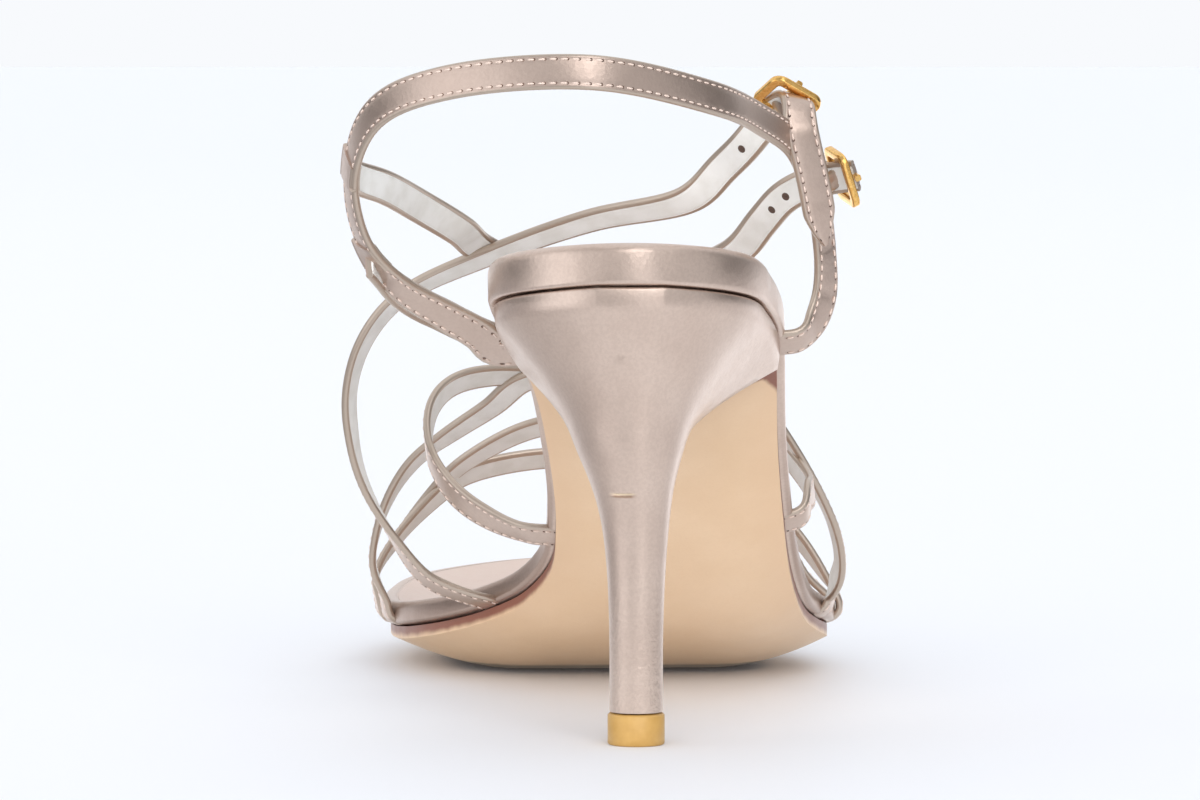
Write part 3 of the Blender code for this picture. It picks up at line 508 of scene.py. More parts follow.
def make_heel(material):
    """The covered heel: a slim column that flares into the seat under the insole."""
    z_of, *columns = np.array(HEEL).T
    sides = [hermite(z_of, column) for column in columns]
    rings = []
    for z in np.linspace(z_of[0], z_of[-1], HEEL_LEVELS):
        rings.append([(x, y, z) for x, y in heel_ring(*[float(side(z)) for side in sides])])
    seat = [(x, y, bed(x, y)) for x, y in seat_ring()]
    below = np.array([(x * HEEL_LIP_SHARE, y, z - HEEL_LIP) for x, y, z in seat])
    last = np.array(rings[-1])
    for share in np.linspace(0.0, 1.0, HEEL_FLARES)[1:]:
        spread = np.array([share**HEEL_FLARE, share**HEEL_FLARE, share])
        rings.append(last * (1 - spread) + below * spread)
    rings = list(eased(rings, HEEL_EASE))
    seat = np.array(seat)
    inward = unit((seat.mean(axis=0) - seat) * np.array([1.0, 1.0, 0.0]))
    down = np.array([0.0, 0.0, HEEL_EDGE])
    for draw, drop in HEEL_EDGE_STEPS:
        rings.append(seat + inward * HEEL_EDGE * draw - down * drop)
    points = np.concatenate(rings)
    faces = tube_faces(len(rings), HEEL_SIDES)
    return piece("covered_heel", points, faces, material, "heel")


def make_heel_tip(material):
    """The wearing piece under the heel, with softened edges."""
    foot = HEEL[0]
    top = HEEL_TIP_HEIGHT
    bevel = HEEL_TIP_BEVEL
    steps = ((0.0, bevel), (bevel / 3, bevel / 3), (bevel, 0.0), (top - bevel, 0.0), (top, bevel))
    points = []
    for z, inset in steps:
        grow = HEEL_TIP_OVERHANG - inset
        ring = heel_ring(foot.back - grow, foot.front + grow, foot.medial - grow, foot.lateral + grow)
        points += [(x, y, z) for x, y in ring]
    faces = tube_faces(len(steps), HEEL_SIDES)
    return piece("heel_top_piece", points, faces, material, "heel_tip")


def seam_frames(end):
    """Places and outward directions from a strap's hidden end to where it leaves the seam."""
    edge = medial_edge if end.side < 0 else lateral_edge
    ahead = edge(end.y + 1.0) * end_round(end.y + 1.0)
    behind = edge(end.y - 1.0) * end_round(end.y - 1.0)
    out = np.array([2.0, behind - ahead, 0.0]) * end.side
    out /= np.linalg.norm(out)
    up = slope_normal(end.y)
    rim = np.array([edge(end.y) * end_round(end.y), end.y, 0.0])

    def seat(reach):
        place = rim + out * reach
        place[2] = bed(place[0], place[1]) + SEAM_SEAT
        return place + up * (STRAP_THICK / 2)

    frames = [(seat(-TUCK), -up), (seat(-TUCK / 2), -up)]
    if end.bend > 0:
        radius = STRAP_THICK / 2 + end.bend
        start = seat(PIECE_GAP - TIGHT)
        for degrees in SEAM_TURN:
            angle = math.radians(degrees)
            step = out * radius * math.sin(angle) + up * radius * (1.0 - math.cos(angle))
            frames.append((start + step, out * math.sin(angle) - up * math.cos(angle)))
        frames.append((start + out * radius + up * (radius + SEAM_RISE), out))
    else:
        frames += [(seat(0.0), -up), (seat(SEAM_RUN), -up)]
    return frames


def knotted(p0, p1, p2, p3, knots, t):
    """A point on the curve that passes through four places."""
    a1 = (p0 * (knots[1] - t) + p1 * (t - knots[0])) / (knots[1] - knots[0])
    a2 = (p1 * (knots[2] - t) + p2 * (t - knots[1])) / (knots[2] - knots[1])
    a3 = (p2 * (knots[3] - t) + p3 * (t - knots[2])) / (knots[3] - knots[2])
    b1 = (a1 * (knots[2] - t) + a2 * (t - knots[0])) / (knots[2] - knots[0])
    b2 = (a2 * (knots[3] - t) + a3 * (t - knots[1])) / (knots[3] - knots[1])
    return (b1 * (knots[2] - t) + b2 * (t - knots[1])) / (knots[2] - knots[1])


class Run(NamedTuple):
    """Frames at even steps along a strap.

    place is on its middle line, heading runs along it, side across its width and normal out of its face.
    """

    along: np.ndarray
    place: np.ndarray
    heading: np.ndarray
    side: np.ndarray
    normal: np.ndarray


def unit(vectors):
    """Rows of vectors brought to length 1."""
    return vectors / np.linalg.norm(vectors, axis=1)[:, None]


def eased(values, passes):
    """Rows smoothed along their order, with both ends kept."""
    values = np.array(values, float)
    for _ in range(passes):
        values[1:-1] += ((values[:-2] + values[2:]) / 2 - values[1:-1]) / 2
    return values


def run_through(stops):
    """A smooth run through stops of a place and an outward direction."""
    places = [np.asarray(place, float) for place, _ in stops]
    normals = [np.asarray(normal, float) for _, normal in stops]
    places = [2 * places[0] - places[1]] + places + [2 * places[-1] - places[-2]]
    curve, facing = [], []
    for k in range(len(stops) - 1):
        p0, p1, p2, p3 = places[k:k + 4]
        gaps = [math.sqrt(np.linalg.norm(b - a)) for a, b in ((p0, p1), (p1, p2), (p2, p3))]
        knots = np.cumsum([0.0] + gaps)
        fine = max(2, math.ceil(np.linalg.norm(p2 - p1) / STRAP_STEP * 2))
        for share in np.arange(fine) / fine:
            t = knots[1] + (knots[2] - knots[1]) * share
            curve.append(knotted(p0, p1, p2, p3, knots, t))
            facing.append(normals[k] * (1 - share) + normals[k + 1] * share)
    curve = np.array(curve + [places[-2]])
    facing = np.array(facing + [normals[-1]])
    length = np.append(0.0, np.cumsum(np.linalg.norm(np.diff(curve, axis=0), axis=1)))
    along = np.linspace(0.0, length[-1], max(3, round(length[-1] / STRAP_STEP)))
    place = np.stack([np.interp(along, length, curve[:, i]) for i in range(3)], axis=1)
    normal = np.stack([np.interp(along, length, facing[:, i]) for i in range(3)], axis=1)
    place = eased(place, STRAP_EASE)
    normal = eased(normal, FACING_EASE)
    heading = unit(np.gradient(place, axis=0))
    side = unit(np.cross(heading, normal))
    return Run(along, place, heading, side, np.cross(side, heading))


def strap_run(route):
    """The run of a strap from its table."""
    stops = []
    for k, stop in enumerate(route):
        if isinstance(stop, SeamEnd):
            stops += seam_frames(stop) if k == 0 else seam_frames(stop)[::-1]
        else:
            stops.append((np.array([stop.x, stop.y, stop.z]), outward(stop)))
    return run_through(stops)


def strap_section(width, thick):
    """A strap's section as rows of across, height and layer.

    The layer is 1 on the outer face, 0 on the edges and -1 on the lining.
    """
    half = width / 2
    top = thick / 2
    turn = min(STRAP_ROUND, thick * STRAP_ROUND_MOST)
    row = half - STITCH_INSET
    face = (
        (row - TROUGH_FADE, 0.0),
        (row - TROUGH_IN, -TROUGH_SHOULDER),
        (row, -STITCH_TROUGH),
        (row + TROUGH_OUT, -TROUGH_SHOULDER),
        (half - turn, 0.0),
    )
    right = [(a, top + STRAP_CROWN * (1 - (a / half) ** 2) + sink, 1.0) for a, sink in face]
    for degrees in EDGE_OUTER:
        angle = math.radians(degrees)
        right.append((half - turn + turn * math.sin(angle), top - turn + turn * math.cos(angle), 0.0))
    for degrees in EDGE_INNER:
        angle = math.radians(degrees)
        right.append((half - turn + turn * math.cos(angle), turn - top - turn * math.sin(angle), 0.0))
    right.append((half - turn - LINING_FOLD, -top, -0.2))
    right += [(half - turn - LINING_FROM, -top, -1.0), (half * LINING_SPAN, -top, -1.0)]
    left = [(-a, b, layer) for a, b, layer in right]
    return np.array([(0.0, top + STRAP_CROWN, 1.0)] + right + [(0.0, -top, -1.0)] + left[::-1])


def strap_halves(run, width, pointed, flare):
    """A strap's share of its nominal width at each place: more at flared ends, less at a pointed one."""
    rest = run.along[-1] - run.along
    share = np.ones(len(rest))
    for extra, near in zip(flare, (run.along, rest)):
        share += extra / width * np.clip(1.0 - near / FLARE_REACH, 0.0, 1.0) ** FLARE_CURVE
    if pointed:
        share = share * np.maximum(TAIL_TIP, np.minimum(1.0, rest / TAIL_POINT) ** TAIL_ROUND)
    return share


def strap_mesh(run, width, thick, pointed=False, flare=STRAIGHT_ENDS, creases=()):
    """Points, faces and marks of a strap along a run."""
    section = strap_section(width, thick)
    share = strap_halves(run, width, pointed, flare)
    sink = np.zeros(len(run.along))
    for spot, depth, reach in creases:
        sink += depth * np.exp(-((run.along - spot) / reach) ** 2)
    a = section[None, :, 0] * share[:, None]
    b = section[None, :, 1] - sink[:, None] * (section[None, :, 2] > 0.5)
    points = run.place[:, None] + a[..., None] * run.side[:, None] + b[..., None] * run.normal[:, None]
    count = len(section)
    faces = tube_faces(len(run.along), count)
    along = np.repeat(run.along[:, None], count, axis=1)
    nominal = np.repeat(section[None, :, 0], len(run.along), axis=0)
    layer = np.repeat(section[None, :, 2], len(run.along), axis=0)
    marks = np.stack([along, nominal, layer], axis=-1).reshape(-1, 3)
    return points.reshape(-1, 3), faces, marks


def at_length(run, values, spots):
    """A run's rows at given lengths along it."""
    return np.stack([np.interp(spots, run.along, values[:, i]) for i in range(3)], axis=1)


def thread_shape():
    """One stitch as a short lens-shaped length of thread: along, across and height."""
    points = []
    for share, girth in THREAD_GIRTHS:
        for k in range(THREAD_SIDES):
            angle = 2 * math.pi * k / THREAD_SIDES
            height = THREAD * girth * math.sin(angle) - THREAD * abs(share) ** 3 * THREAD_DIVE
            points.append((share * STITCH_LENGTH / 2, THREAD * girth * math.cos(angle), height))
    return np.array(points), tube_faces(len(THREAD_GIRTHS), THREAD_SIDES)


def stitches(run, width, thick, pointed, flare, start, end):
    """Both rows of thread along a strap's outer face, between two lengths."""
    shape, shape_faces = thread_shape()
    spots = np.arange(start, end, STITCH_PITCH)
    share = np.interp(spots, run.along, strap_halves(run, width, pointed, flare))
    place = at_length(run, run.place, spots)
    heading = unit(at_length(run, run.heading, spots))
    side = unit(at_length(run, run.side, spots))
    normal = unit(at_length(run, run.normal, spots))
    row = width / 2 - STITCH_INSET
    height = thick / 2 + STRAP_CROWN * (1 - (row / (width / 2)) ** 2) - STITCH_TROUGH / 2
    points, faces = [], []
    for sign in (-1.0, 1.0):
        centre = place + side * (sign * row * share)[:, None] + normal * height
        for c, t, s, n in zip(centre, heading, side, normal):
            faces += [tuple(len(points) * len(shape) + i for i in face) for face in shape_faces]
            points.append(c + shape[:, :1] * t + shape[:, 1:2] * s + shape[:, 2:] * n)
    return points, faces


class Row(NamedTuple):
    """A place on a strap's middle line. Its outer face looks to an azimuth (0 lateral, 90 toe) and a tilt."""

    x: float
    y: float
    z: float
    facing: float
    tilt: float


class SeamEnd(NamedTuple):
    """A strap's end, tucked under the insole at a station of its medial (-1) or lateral (1) side.

    It turns upright with the inner radius given, or runs straight out where that is 0.
    """

    y: float
    side: int
    bend: float


# Where straps cross
MEDIAL_INSTEP = Row(-23.2, 79.0, 82.1, 120, 48)
MID_INSTEP = Row(-1.0, 84.0, 73.5, 100, 55)
LATERAL_VAMP = Row(35.0, 103.5, 42.3, 20, 20)
MID_VAMP = Row(-14.3, 124.0, 57.1, 100, 55)
LATERAL_TOE = Row(26.0, 143.5, 37.5, 48, 42)
MEDIAL_TOE = Row(-29.4, 161.5, 33.2, 143, 35)


def outward(row):
    """The direction that a strap's outer face looks to."""
    azimuth = math.radians(row.facing)
    tilt = math.radians(row.tilt)
    flat = math.cos(tilt)
    return np.array([flat * math.cos(azimuth), flat * math.sin(azimuth), math.sin(tilt)])


def over(row, way=1.0):
    """The same place for the strap that lies outside at a crossing, or inside it where the way is -1."""
    lift = way * outward(row) * (STRAP_THICK - STRAP_BITE) / 2
    return row._replace(x=row.x + lift[0], y=row.y + lift[1], z=row.z + lift[2])


def under(row):
    """The same place for the strap that lies inside at a crossing."""
    return over(row, -1.0)


ANKLE_STRAP = (
    SeamEnd(45.5, -1, STRAIGHT),
    Row(-25.6, 44.0, 68.8, -108, -30),
    Row(-31.4, 42.0, 72.2, -112, -18),
    Row(-39.9, 38.0, 77.6, -132, -12),
    Row(-46.7, 32.0, 86.5, -156, -8),
    Row(-48.6, 25.0, 98.2, -165, 0),
    Row(-44.6, 14.0, 108.3, -140, 10),
    Row(-32.6, 3.0, 113.4, -110, 12),
    Row(-9.3, -5.0, 115.1, -88, 12),
    Row(11.9, 8.0, 110.8, -62, 14),
    Row(21.6, 25.0, 106.9, -52, 14),
    Row(29.4, 38.6, 101.4, -50, 10),
    Row(33.2, 43.4, 92.6, -45, 4),
    Row(34.8, 46.0, 83.0, -36, -5),
    Row(34.8, 46.6, 75.8, -46, -18),
    Row(33.0, 45.6, 70.9, -62, -38),
    SeamEnd(43.6, 1, STRAIGHT),
)

MEDIAL_CROSS_STRAP = (
    SeamEnd(113.0, -1, STRAIGHT),
    Row(-33.2, 110.6, 20.4, -150, -30),
    Row(-39.7, 108.0, 28.9, -168, -12),
    Row(-45.0, 103.0, 38.6, 178, -5),
    Row(-47.3, 98.0, 47.4, 165, 0),
    Row(-47.8, 93.0, 57.0, 160, 10),
    Row(-44.8, 88.0, 66.6, 150, 25),
    Row(-38.4, 84.0, 74.2, 140, 35),
    under(MEDIAL_INSTEP),
    Row(-5.0, 74.0, 88.1, 90, 52),
    Row(12.4, 64.0, 92.3, 60, 45),
    Row(17.7, 58.0, 97.9, 45, 35),
    Row(21.4, 51.5, 102.2, 35, 32),
    Row(25.2, 47.4, 107.4, 35, 45),
    Row(27.9, 43.0, 110.0, 25, 60),
    Row(29.2, 39.0, 110.2, -60, 62),
    Row(29.6, 35.2, 105.2, -80, 14),
    Row(32.2, 37.4, 94.6, -78, 6),
    Row(34.2, 40.4, 84.8, -72, 2),
)

LATERAL_CROSS_STRAP = (
    Row(-48.4, 24.5, 97.4, 180, 0),
    Row(-47.5, 27.0, 96.8, 178, 4),
    Row(-42.8, 36.0, 95.1, 165, 15),
    Row(-36.0, 52.0, 91.2, 150, 25),
    Row(-28.6, 66.0, 86.6, 138, 38),
    over(MEDIAL_INSTEP),
    over(MID_INSTEP),
    Row(14.0, 91.0, 66.5, 62, 44),
    Row(26.0, 98.0, 55.0, 40, 34),
    over(LATERAL_VAMP),
    Row(39.5, 108.0, 36.3, 15, 12),
    Row(43.0, 113.0, 28.9, 12, 8),
    Row(44.4, 118.0, 21.7, 8, 2),
    SeamEnd(125.0, 1, TIGHT),
)

INSTEP_STRAP = (
    Row(-45.4, 33.4, 82.2, 180, 0),
    Row(-43.8, 38.0, 80.4, 178, 0),
    Row(-40.2, 47.0, 76.8, 162, 10),
    Row(-33.2, 60.0, 72.4, 142, 28),
    Row(-18.0, 76.0, 66.6, 116, 44),
    under(MID_INSTEP),
    Row(13.0, 75.5, 79.0, 75, 46),
    Row(20.9, 66.0, 82.9, 60, 42),
    Row(24.8, 57.0, 88.6, 50, 35),
    Row(28.3, 50.8, 93.1, 47, 25),
    Row(33.0, 47.0, 95.6, 52, 20),
    Row(37.4, 44.2, 96.6, 55, 26),
    Row(39.9, 42.7, 96.8, 56, 28),
)

MEDIAL_WAIST_STRAP = (
    SeamEnd(88.5, -1, STRAIGHT),
    Row(-22.3, 95.0, 32.9, -130, -38),
    Row(-28.4, 99.0, 37.0, -150, -20),
    Row(-32.4, 103.0, 43.0, -175, -5),
    Row(-33.2, 107.0, 48.0, 165, 5),
    Row(-31.7, 112.0, 53.3, 150, 20),
    Row(-27.0, 117.0, 56.8, 130, 40),
    over(MID_VAMP),
    Row(4.0, 131.0, 53.0, 80, 54),
    over(LATERAL_TOE),
    Row(35.5, 151.0, 26.0, 25, 24),
    Row(41.0, 155.5, 17.5, 8, 8),
    SeamEnd(157.0, 1, TIGHT),
)

LATERAL_WAIST_STRAP = (
    SeamEnd(85.0, 1, WIDE),
    Row(36.8, 95.0, 38.0, 10, 8),
    under(LATERAL_VAMP),
    Row(27.0, 108.5, 51.0, 40, 40),
    Row(10.0, 116.0, 58.5, 75, 54),
    under(MID_VAMP),
    Row(-20.2, 129.0, 51.6, 115, 45),
    Row(-28.3, 135.0, 45.8, 130, 40),
    Row(-34.7, 140.0, 40.5, 145, 30),
    Row(-39.2, 144.0, 33.7, 160, 15),
    Row(-41.9, 147.0, 26.2, 172, 5),
    Row(-42.6, 149.0, 19.8, 180, 0),
    SeamEnd(150.5, -1, TIGHT),
)

REAR_TOE_STRAP = (
    SeamEnd(170.5, -1, TIGHT),
    Row(-41.6, 169.5, 16.5, 178, 2),
    Row(-38.3, 168.0, 22.6, 168, 10),
    over(MEDIAL_TOE),
    Row(-24.5, 157.0, 39.0, 130, 45),
    Row(-10.1, 150.0, 46.4, 100, 52),
    Row(8.0, 146.0, 46.5, 75, 52),
    under(LATERAL_TOE),
    Row(38.0, 142.0, 26.0, 18, 18),
    Row(44.0, 141.5, 17.5, 5, 5),
    SeamEnd(141.5, 1, TIGHT),
)

FRONT_TOE_STRAP = (
    SeamEnd(160.0, -1, TIGHT),
    Row(-42.0, 160.3, 16.5, 180, 2),
    Row(-37.6, 161.0, 24.0, 164, 12),
    under(MEDIAL_TOE),
    Row(-24.3, 163.0, 36.2, 130, 40),
    Row(-8.5, 166.0, 39.2, 95, 50),
    Row(8.0, 167.0, 38.0, 75, 48),
    Row(24.0, 169.0, 30.0, 45, 36),
    Row(35.0, 170.5, 18.0, 14, 12),
    SeamEnd(171.0, 1, TIGHT),
)


class Value:
    """A socket of a material's nodes, on which Python's operators add Math nodes."""

    def __init__(self, paint, socket):
        self.paint = paint
        self.socket = socket

    def out(self, name):
        """Another output of the same node."""
        return Value(self.paint, self.socket.node.outputs[name])

    def math(self, operation, *others):
        """A Math node on this value and any others."""
        return self.paint.node("Math", {"operation": operation}, dict(enumerate((self, *others))))

    def __add__(self, other):
        return self.math("ADD", other)

    def __sub__(self, other):
        return self.math("SUBTRACT", other)

    def __rsub__(self, other):
        return self.paint.node("Math", {"operation": "SUBTRACT"}, {0: other, 1: self})

    def __mul__(self, other):
        return self.math("MULTIPLY", other)

    def __truediv__(self, other):
        return self.math("DIVIDE", other)

    def __pow__(self, other):
        return self.math("POWER", other)

    def __abs__(self):
        return self.math("ABSOLUTE")

    __radd__ = __add__
    __rmul__ = __mul__


class Paint:
    """The nodes that make the finish of a material, or the light of a world."""

    def __init__(self, holder, shader="Principled BSDF"):
        self.material = bpy.data.materials.new(holder) if isinstance(holder, str) else holder
        self.material.use_nodes = True
        self.tree = self.material.node_tree
        self.shader = self.tree.nodes[shader]

    def node(self, kind, settings=None, inputs=None, output=0):
        """Adds a node with its settings and the values or links of its sockets, and gives one output."""
        made = self.tree.nodes.new("ShaderNode" + kind)
        for name, value in (settings or {}).items():
            setattr(made, name, value)
        for name, value in (inputs or {}).items():
            self.feed(made.inputs[name], value)
        return Value(self, made.outputs[output])

    def feed(self, socket, value):
        """Links a value to a socket, or sets the socket's own number or colour."""
        if isinstance(value, Value):
            self.tree.links.new(value.socket, socket)
        else:
            socket.default_value = value

    def finish(self, **inputs):
        """Feeds the shader's sockets by name, with underscores for spaces."""
        for name, value in inputs.items():
            self.feed(self.shader.inputs[name.replace("_", " ")], value)
        return self.material

    def spot(self):
        """The point's place in the row frame, in metres."""
        return self.node("TexCoord", output="Object")

    def axis(self, name):
        """One of the place's X, Y and Z in the row frame, in millimetres."""
        return self.node("SeparateXYZ", None, {0: self.spot()}, name) / MM

    def kept(self, name, output="Fac"):
        """The numbers kept on the points under a name."""
        return self.node("Attribute", {"attribute_name": name}, output=output)

    def vector(self, operation, *values, output="Vector"):
        """A vector, or with the output Value a number, worked out from vectors."""
        return self.node("VectorMath", {"operation": operation}, dict(enumerate(values)), output)

    def noise(self, size, detail=2.0, rough=0.5):
        """Cloudy values around 0.5 with features of about the given size in millimetres."""
        inputs = {"Scale": 1.0 / (size * MM), "Detail": detail, "Roughness": rough}
        return self.node("TexNoise", None, {"Vector": self.spot(), **inputs})

    def waver(self, size, amount, detail=3.0):
        """Cloudy values around 0 that span about the given amount."""
        return (self.noise(size, detail) - 0.5) * amount

    def pebbles(self, size):
        """Distance from the middles of grain cells of about the given size in millimetres."""
        return self.node("TexVoronoi", None, {"Vector": self.spot(), "Scale": 1.0 / (size * MM)})

    def ramp(self, value, low, high):
        """A soft step from 0 at low to 1 at high."""
        inputs = {"Value": value, "From Min": low, "From Max": high}
        return self.node("MapRange", {"interpolation_type": "SMOOTHSTEP"}, inputs)

    def bump_of(self, height, depth, strength=1.0, normal=None):
        """A surface raised by a height from 0 to 1 times a depth in millimetres."""
        inputs = {"Height": height, "Distance": depth * MM, "Strength": strength}
        if normal is not None:
            inputs["Normal"] = normal
        return self.node("Bump", None, inputs)

    def mix(self, share, first, second):
        """A colour between two."""
        inputs = {0: share, 6: first, 7: second}
        return self.node("Mix", {"data_type": "RGBA"}, inputs, output=2)

    def near(self, value, middle, reach):
        """1 at the middle value, falling softly to 0 a reach away."""
        return 1.0 - self.ramp(abs(value - middle), 0.0, reach)


def colour(red, green, blue):
    """An sRGB colour of 0 to 255 as the shader's linear one."""
    parts = []
    for part in (red, green, blue):
        part = part / 255
        parts.append(part / 12.92 if part <= 0.04045 else ((part + 0.055) / 1.055) ** 2.4)
    return (*parts, 1.0)


# Colours
ROSE_LIGHT = colour(226, 206, 193)
ROSE = colour(212, 191, 178)
ROSE_SHADE = colour(183, 162, 150)
PIT = colour(118, 92, 80)
LINING = colour(240, 240, 237)
LINING_SHADE = colour(229, 228, 223)
EDGE = colour(192, 178, 163)
SOCK = colour(224, 200, 188)
TAN = colour(226, 193, 156)
TAN_LIGHT = colour(232, 201, 166)
TAN_SHADE = colour(214, 177, 141)
# Painted contact shadow along the sole's foot
CONTACT_SHADOW = colour(76, 59, 48)
STAIN = colour(122, 60, 42)
MUSTARD = colour(200, 160, 94)
MUSTARD_SHADE = colour(176, 135, 68)
GOLD = colour(250, 205, 128)
GOLD_SHADE = colour(226, 168, 84)
# Painted shade inside the punched holes
HOLE_SHADE = colour(52, 46, 40)
BLACK = colour(0, 0, 0)
NICK_CREAM = colour(240, 216, 186)
NICK_SHADE = colour(150, 108, 78)
# Painted shade for the insole's side wall
PAINTED_WALL_SHADE = colour(140, 112, 98)
FLOOR = colour(231, 233, 238)
# Painted shade on the floor far off
FLOOR_FAR_SHADE = colour(227, 230, 234)
# The glow of the hidden floor, a painted reflection for the foil, with painted shade to the left and at the
# sides and a painted shadow under the forefoot
MIRROR = colour(207, 209, 212)
MIRROR_LEFT_SHADE = colour(162, 162, 164)
MIRROR_UNDER_SHADOW = colour(127, 117, 107)
MIRROR_FAR = colour(245, 247, 251)
MIRROR_SIDE = colour(140, 140, 143)

# The floors, in metres: where the upper one turns greyer with painted shade, and where the painted shade and
# painted shadow of the glowing mirrored one begin and end across it, round the forefoot and away from the
# heel
FLOOR_FADE = (0.2, 6.0)
MIRROR_GLOW = 1.45
UNDER_FOREFOOT = (0.0, 0.05, 0.0)
HEEL_FOOT = (0.001, -0.09, 0.0)
LEFT_FROM = (-0.3, -0.2)
LEFT_TO = (-0.1, -0.062)
UNDER_TO = (0.03, 0.06)
FAR_FROM = (0.12, 0.22)
# The same by the way from the heel: ahead, to the left, to the right and in a stripe behind
AHEAD_WAY = (-0.3, 0.2)
LEFT_WAY = (-0.2, -0.8)
RIGHT_WAY = (0.6, 0.85)
STRIPE_WAY = (-0.12, 0.25)

# Finishes, with depths, widths and heights in millimetres
FOIL_METAL = 0.9
FOIL_ROUGH = 0.33
FOIL_COAT = 0.12
STRAP_COAT = 0.1
FOIL_COAT_ROUGH = 0.25
GRAIN_DEPTH = 0.07
GRAIN_STRENGTH = 0.6
SOCK_RIM = (2.6, 2.9)
SOCK_GROOVE = (2.75, 0.35)
STAIN_LINE = 1.9
# Where the painted shade on the insole's side wall sets in, in millimetres from the heel's back
PAINTED_WALL_SHADE_Y = (50.0, 95.0)
WORN_Z = (12.0, 38.0)
# Heights over the floor through which the painted contact shadow fades out
CONTACT_SHADOW_Z = (1.0, 2.0)
SCUFF_Z = (0.1, 1.2)
THREAD_ROUGH = 0.5
SOLE_ROUGH = 0.44
TIP_ROUGH = 0.42
GOLD_ROUGH = 0.14
HOLE_ROUGH = 0.8
FLOOR_ROUGH = 0.55


def foil_grain(paint):
    """The fine pebbling of foiled leather as a height, with the wear that breaks the foil's shine."""
    fine = paint.noise(0.28, 3.0, 0.6)
    cells = paint.pebbles(0.75)
    return fine * 0.55 + cells**2.0 * 0.45


def foil_colour(paint):
    """Rose metallic foil, a little uneven over the hide."""
    cloud = paint.ramp(paint.noise(9.0, 3.0), 0.25, 0.75)
    speck = paint.ramp(paint.noise(0.6, 2.0, 0.65), 0.35, 0.65)
    return paint.mix(speck * 0.2, paint.mix(cloud * 0.5, ROSE, ROSE_LIGHT), ROSE_SHADE)


def foil_finish(paint, shade, rough, metal, coat, low):
    """The shine of foiled leather, with its grain on top of the larger bumps."""
    grain = paint.bump_of(foil_grain(paint), GRAIN_DEPTH, GRAIN_STRENGTH, low)
    return paint.finish(Base_Color=shade, Roughness=rough, Metallic=metal, Normal=grain,
                        Coat_Weight=coat, Coat_Roughness=FOIL_COAT_ROUGH)


class Flaw(NamedTuple):
    """A mark on the heel's back, by its middle and its half sizes in millimetres."""

    x: float
    z: float
    wide: float
    high: float


NICK = Flaw(-2.9, 43.4, 2.6, 0.38)
MARK = Flaw(-3.6, 66.5, 1.6, 1.2)
WRINKLES = (
    Flaw(-0.5, 16.6, 3.4, 0.5),
    Flaw(-1.4, 14.9, 3.0, 0.5),
    Flaw(0.2, 13.4, 2.6, 0.45),
    Flaw(-2.5, 21.5, 1.8, 0.45),
)


def covered_heel_leather():
    """Foiled leather drawn over the heel, with a nick, a faint mark and wrinkles low on the stem."""
    paint = Paint("heel_cover_leather")
    x = paint.axis("X") - float(SHIFT[0])
    z = paint.axis("Z")
    wobble = paint.waver(1.6, 0.6, 2.0)
    nick = (paint.near(x, NICK.x, NICK.wide) * 2.0).math("MINIMUM", 1.0)
    lip = nick * paint.near(z + wobble * 0.3, NICK.z - NICK.high, NICK.high)
    nick = nick * paint.near(z + wobble * 0.3, NICK.z, NICK.high)
    shade = paint.mix(lip * 0.7, paint.mix(nick, foil_colour(paint), NICK_CREAM), NICK_SHADE)
    mark = paint.near(x, MARK.x, MARK.wide) * paint.near(z + wobble * 2.0, MARK.z, MARK.high)
    shade = paint.mix(mark * 0.35, shade, ROSE_SHADE)
    wrinkles = 0.0
    for row in WRINKLES:
        wrinkles = paint.near(x, row.x, row.wide) * paint.near(z + wobble, row.z, row.high) + wrinkles
    worn = (1.0 - paint.ramp(z, *WORN_Z)) * paint.noise(0.9, 4.0, 0.7)
    low = paint.bump_of(wrinkles * 0.35 + mark - nick + worn * 1.4, 0.16)
    rough = FOIL_ROUGH + paint.waver(2.5, 0.16)
    return foil_finish(paint, shade, rough, FOIL_METAL, FOIL_COAT, low)


def insole_leather():
    """Foiled leather round the insole's edge with the sock lining inside, and painted shade on its wall from
    the waist forward.
    """
    paint = Paint("insole_wrap_leather")
    inside = paint.kept("inside")
    sock = paint.ramp(inside, *SOCK_RIM)
    shade = paint.mix(sock, foil_colour(paint), paint.mix(paint.noise(7.0, 3.0), SOCK, ROSE_LIGHT))
    y = paint.axis("Y") - float(SHIFT[1])
    # Painted shade darkens the side wall from the waist forward
    wall = (1.0 - paint.ramp(inside, 0.0, 0.7)) * paint.ramp(y, *PAINTED_WALL_SHADE_Y)
    shade = paint.mix(wall * 0.6, shade, PAINTED_WALL_SHADE)
    groove = 1.0 - paint.near(inside, *SOCK_GROOVE)
    low = paint.bump_of(groove, 0.2)
    rough = FOIL_ROUGH + sock * 0.12 + paint.waver(2.5, 0.16)
    metal = FOIL_METAL - sock * 0.25
    return foil_finish(paint, shade, rough, metal, FOIL_COAT, low)


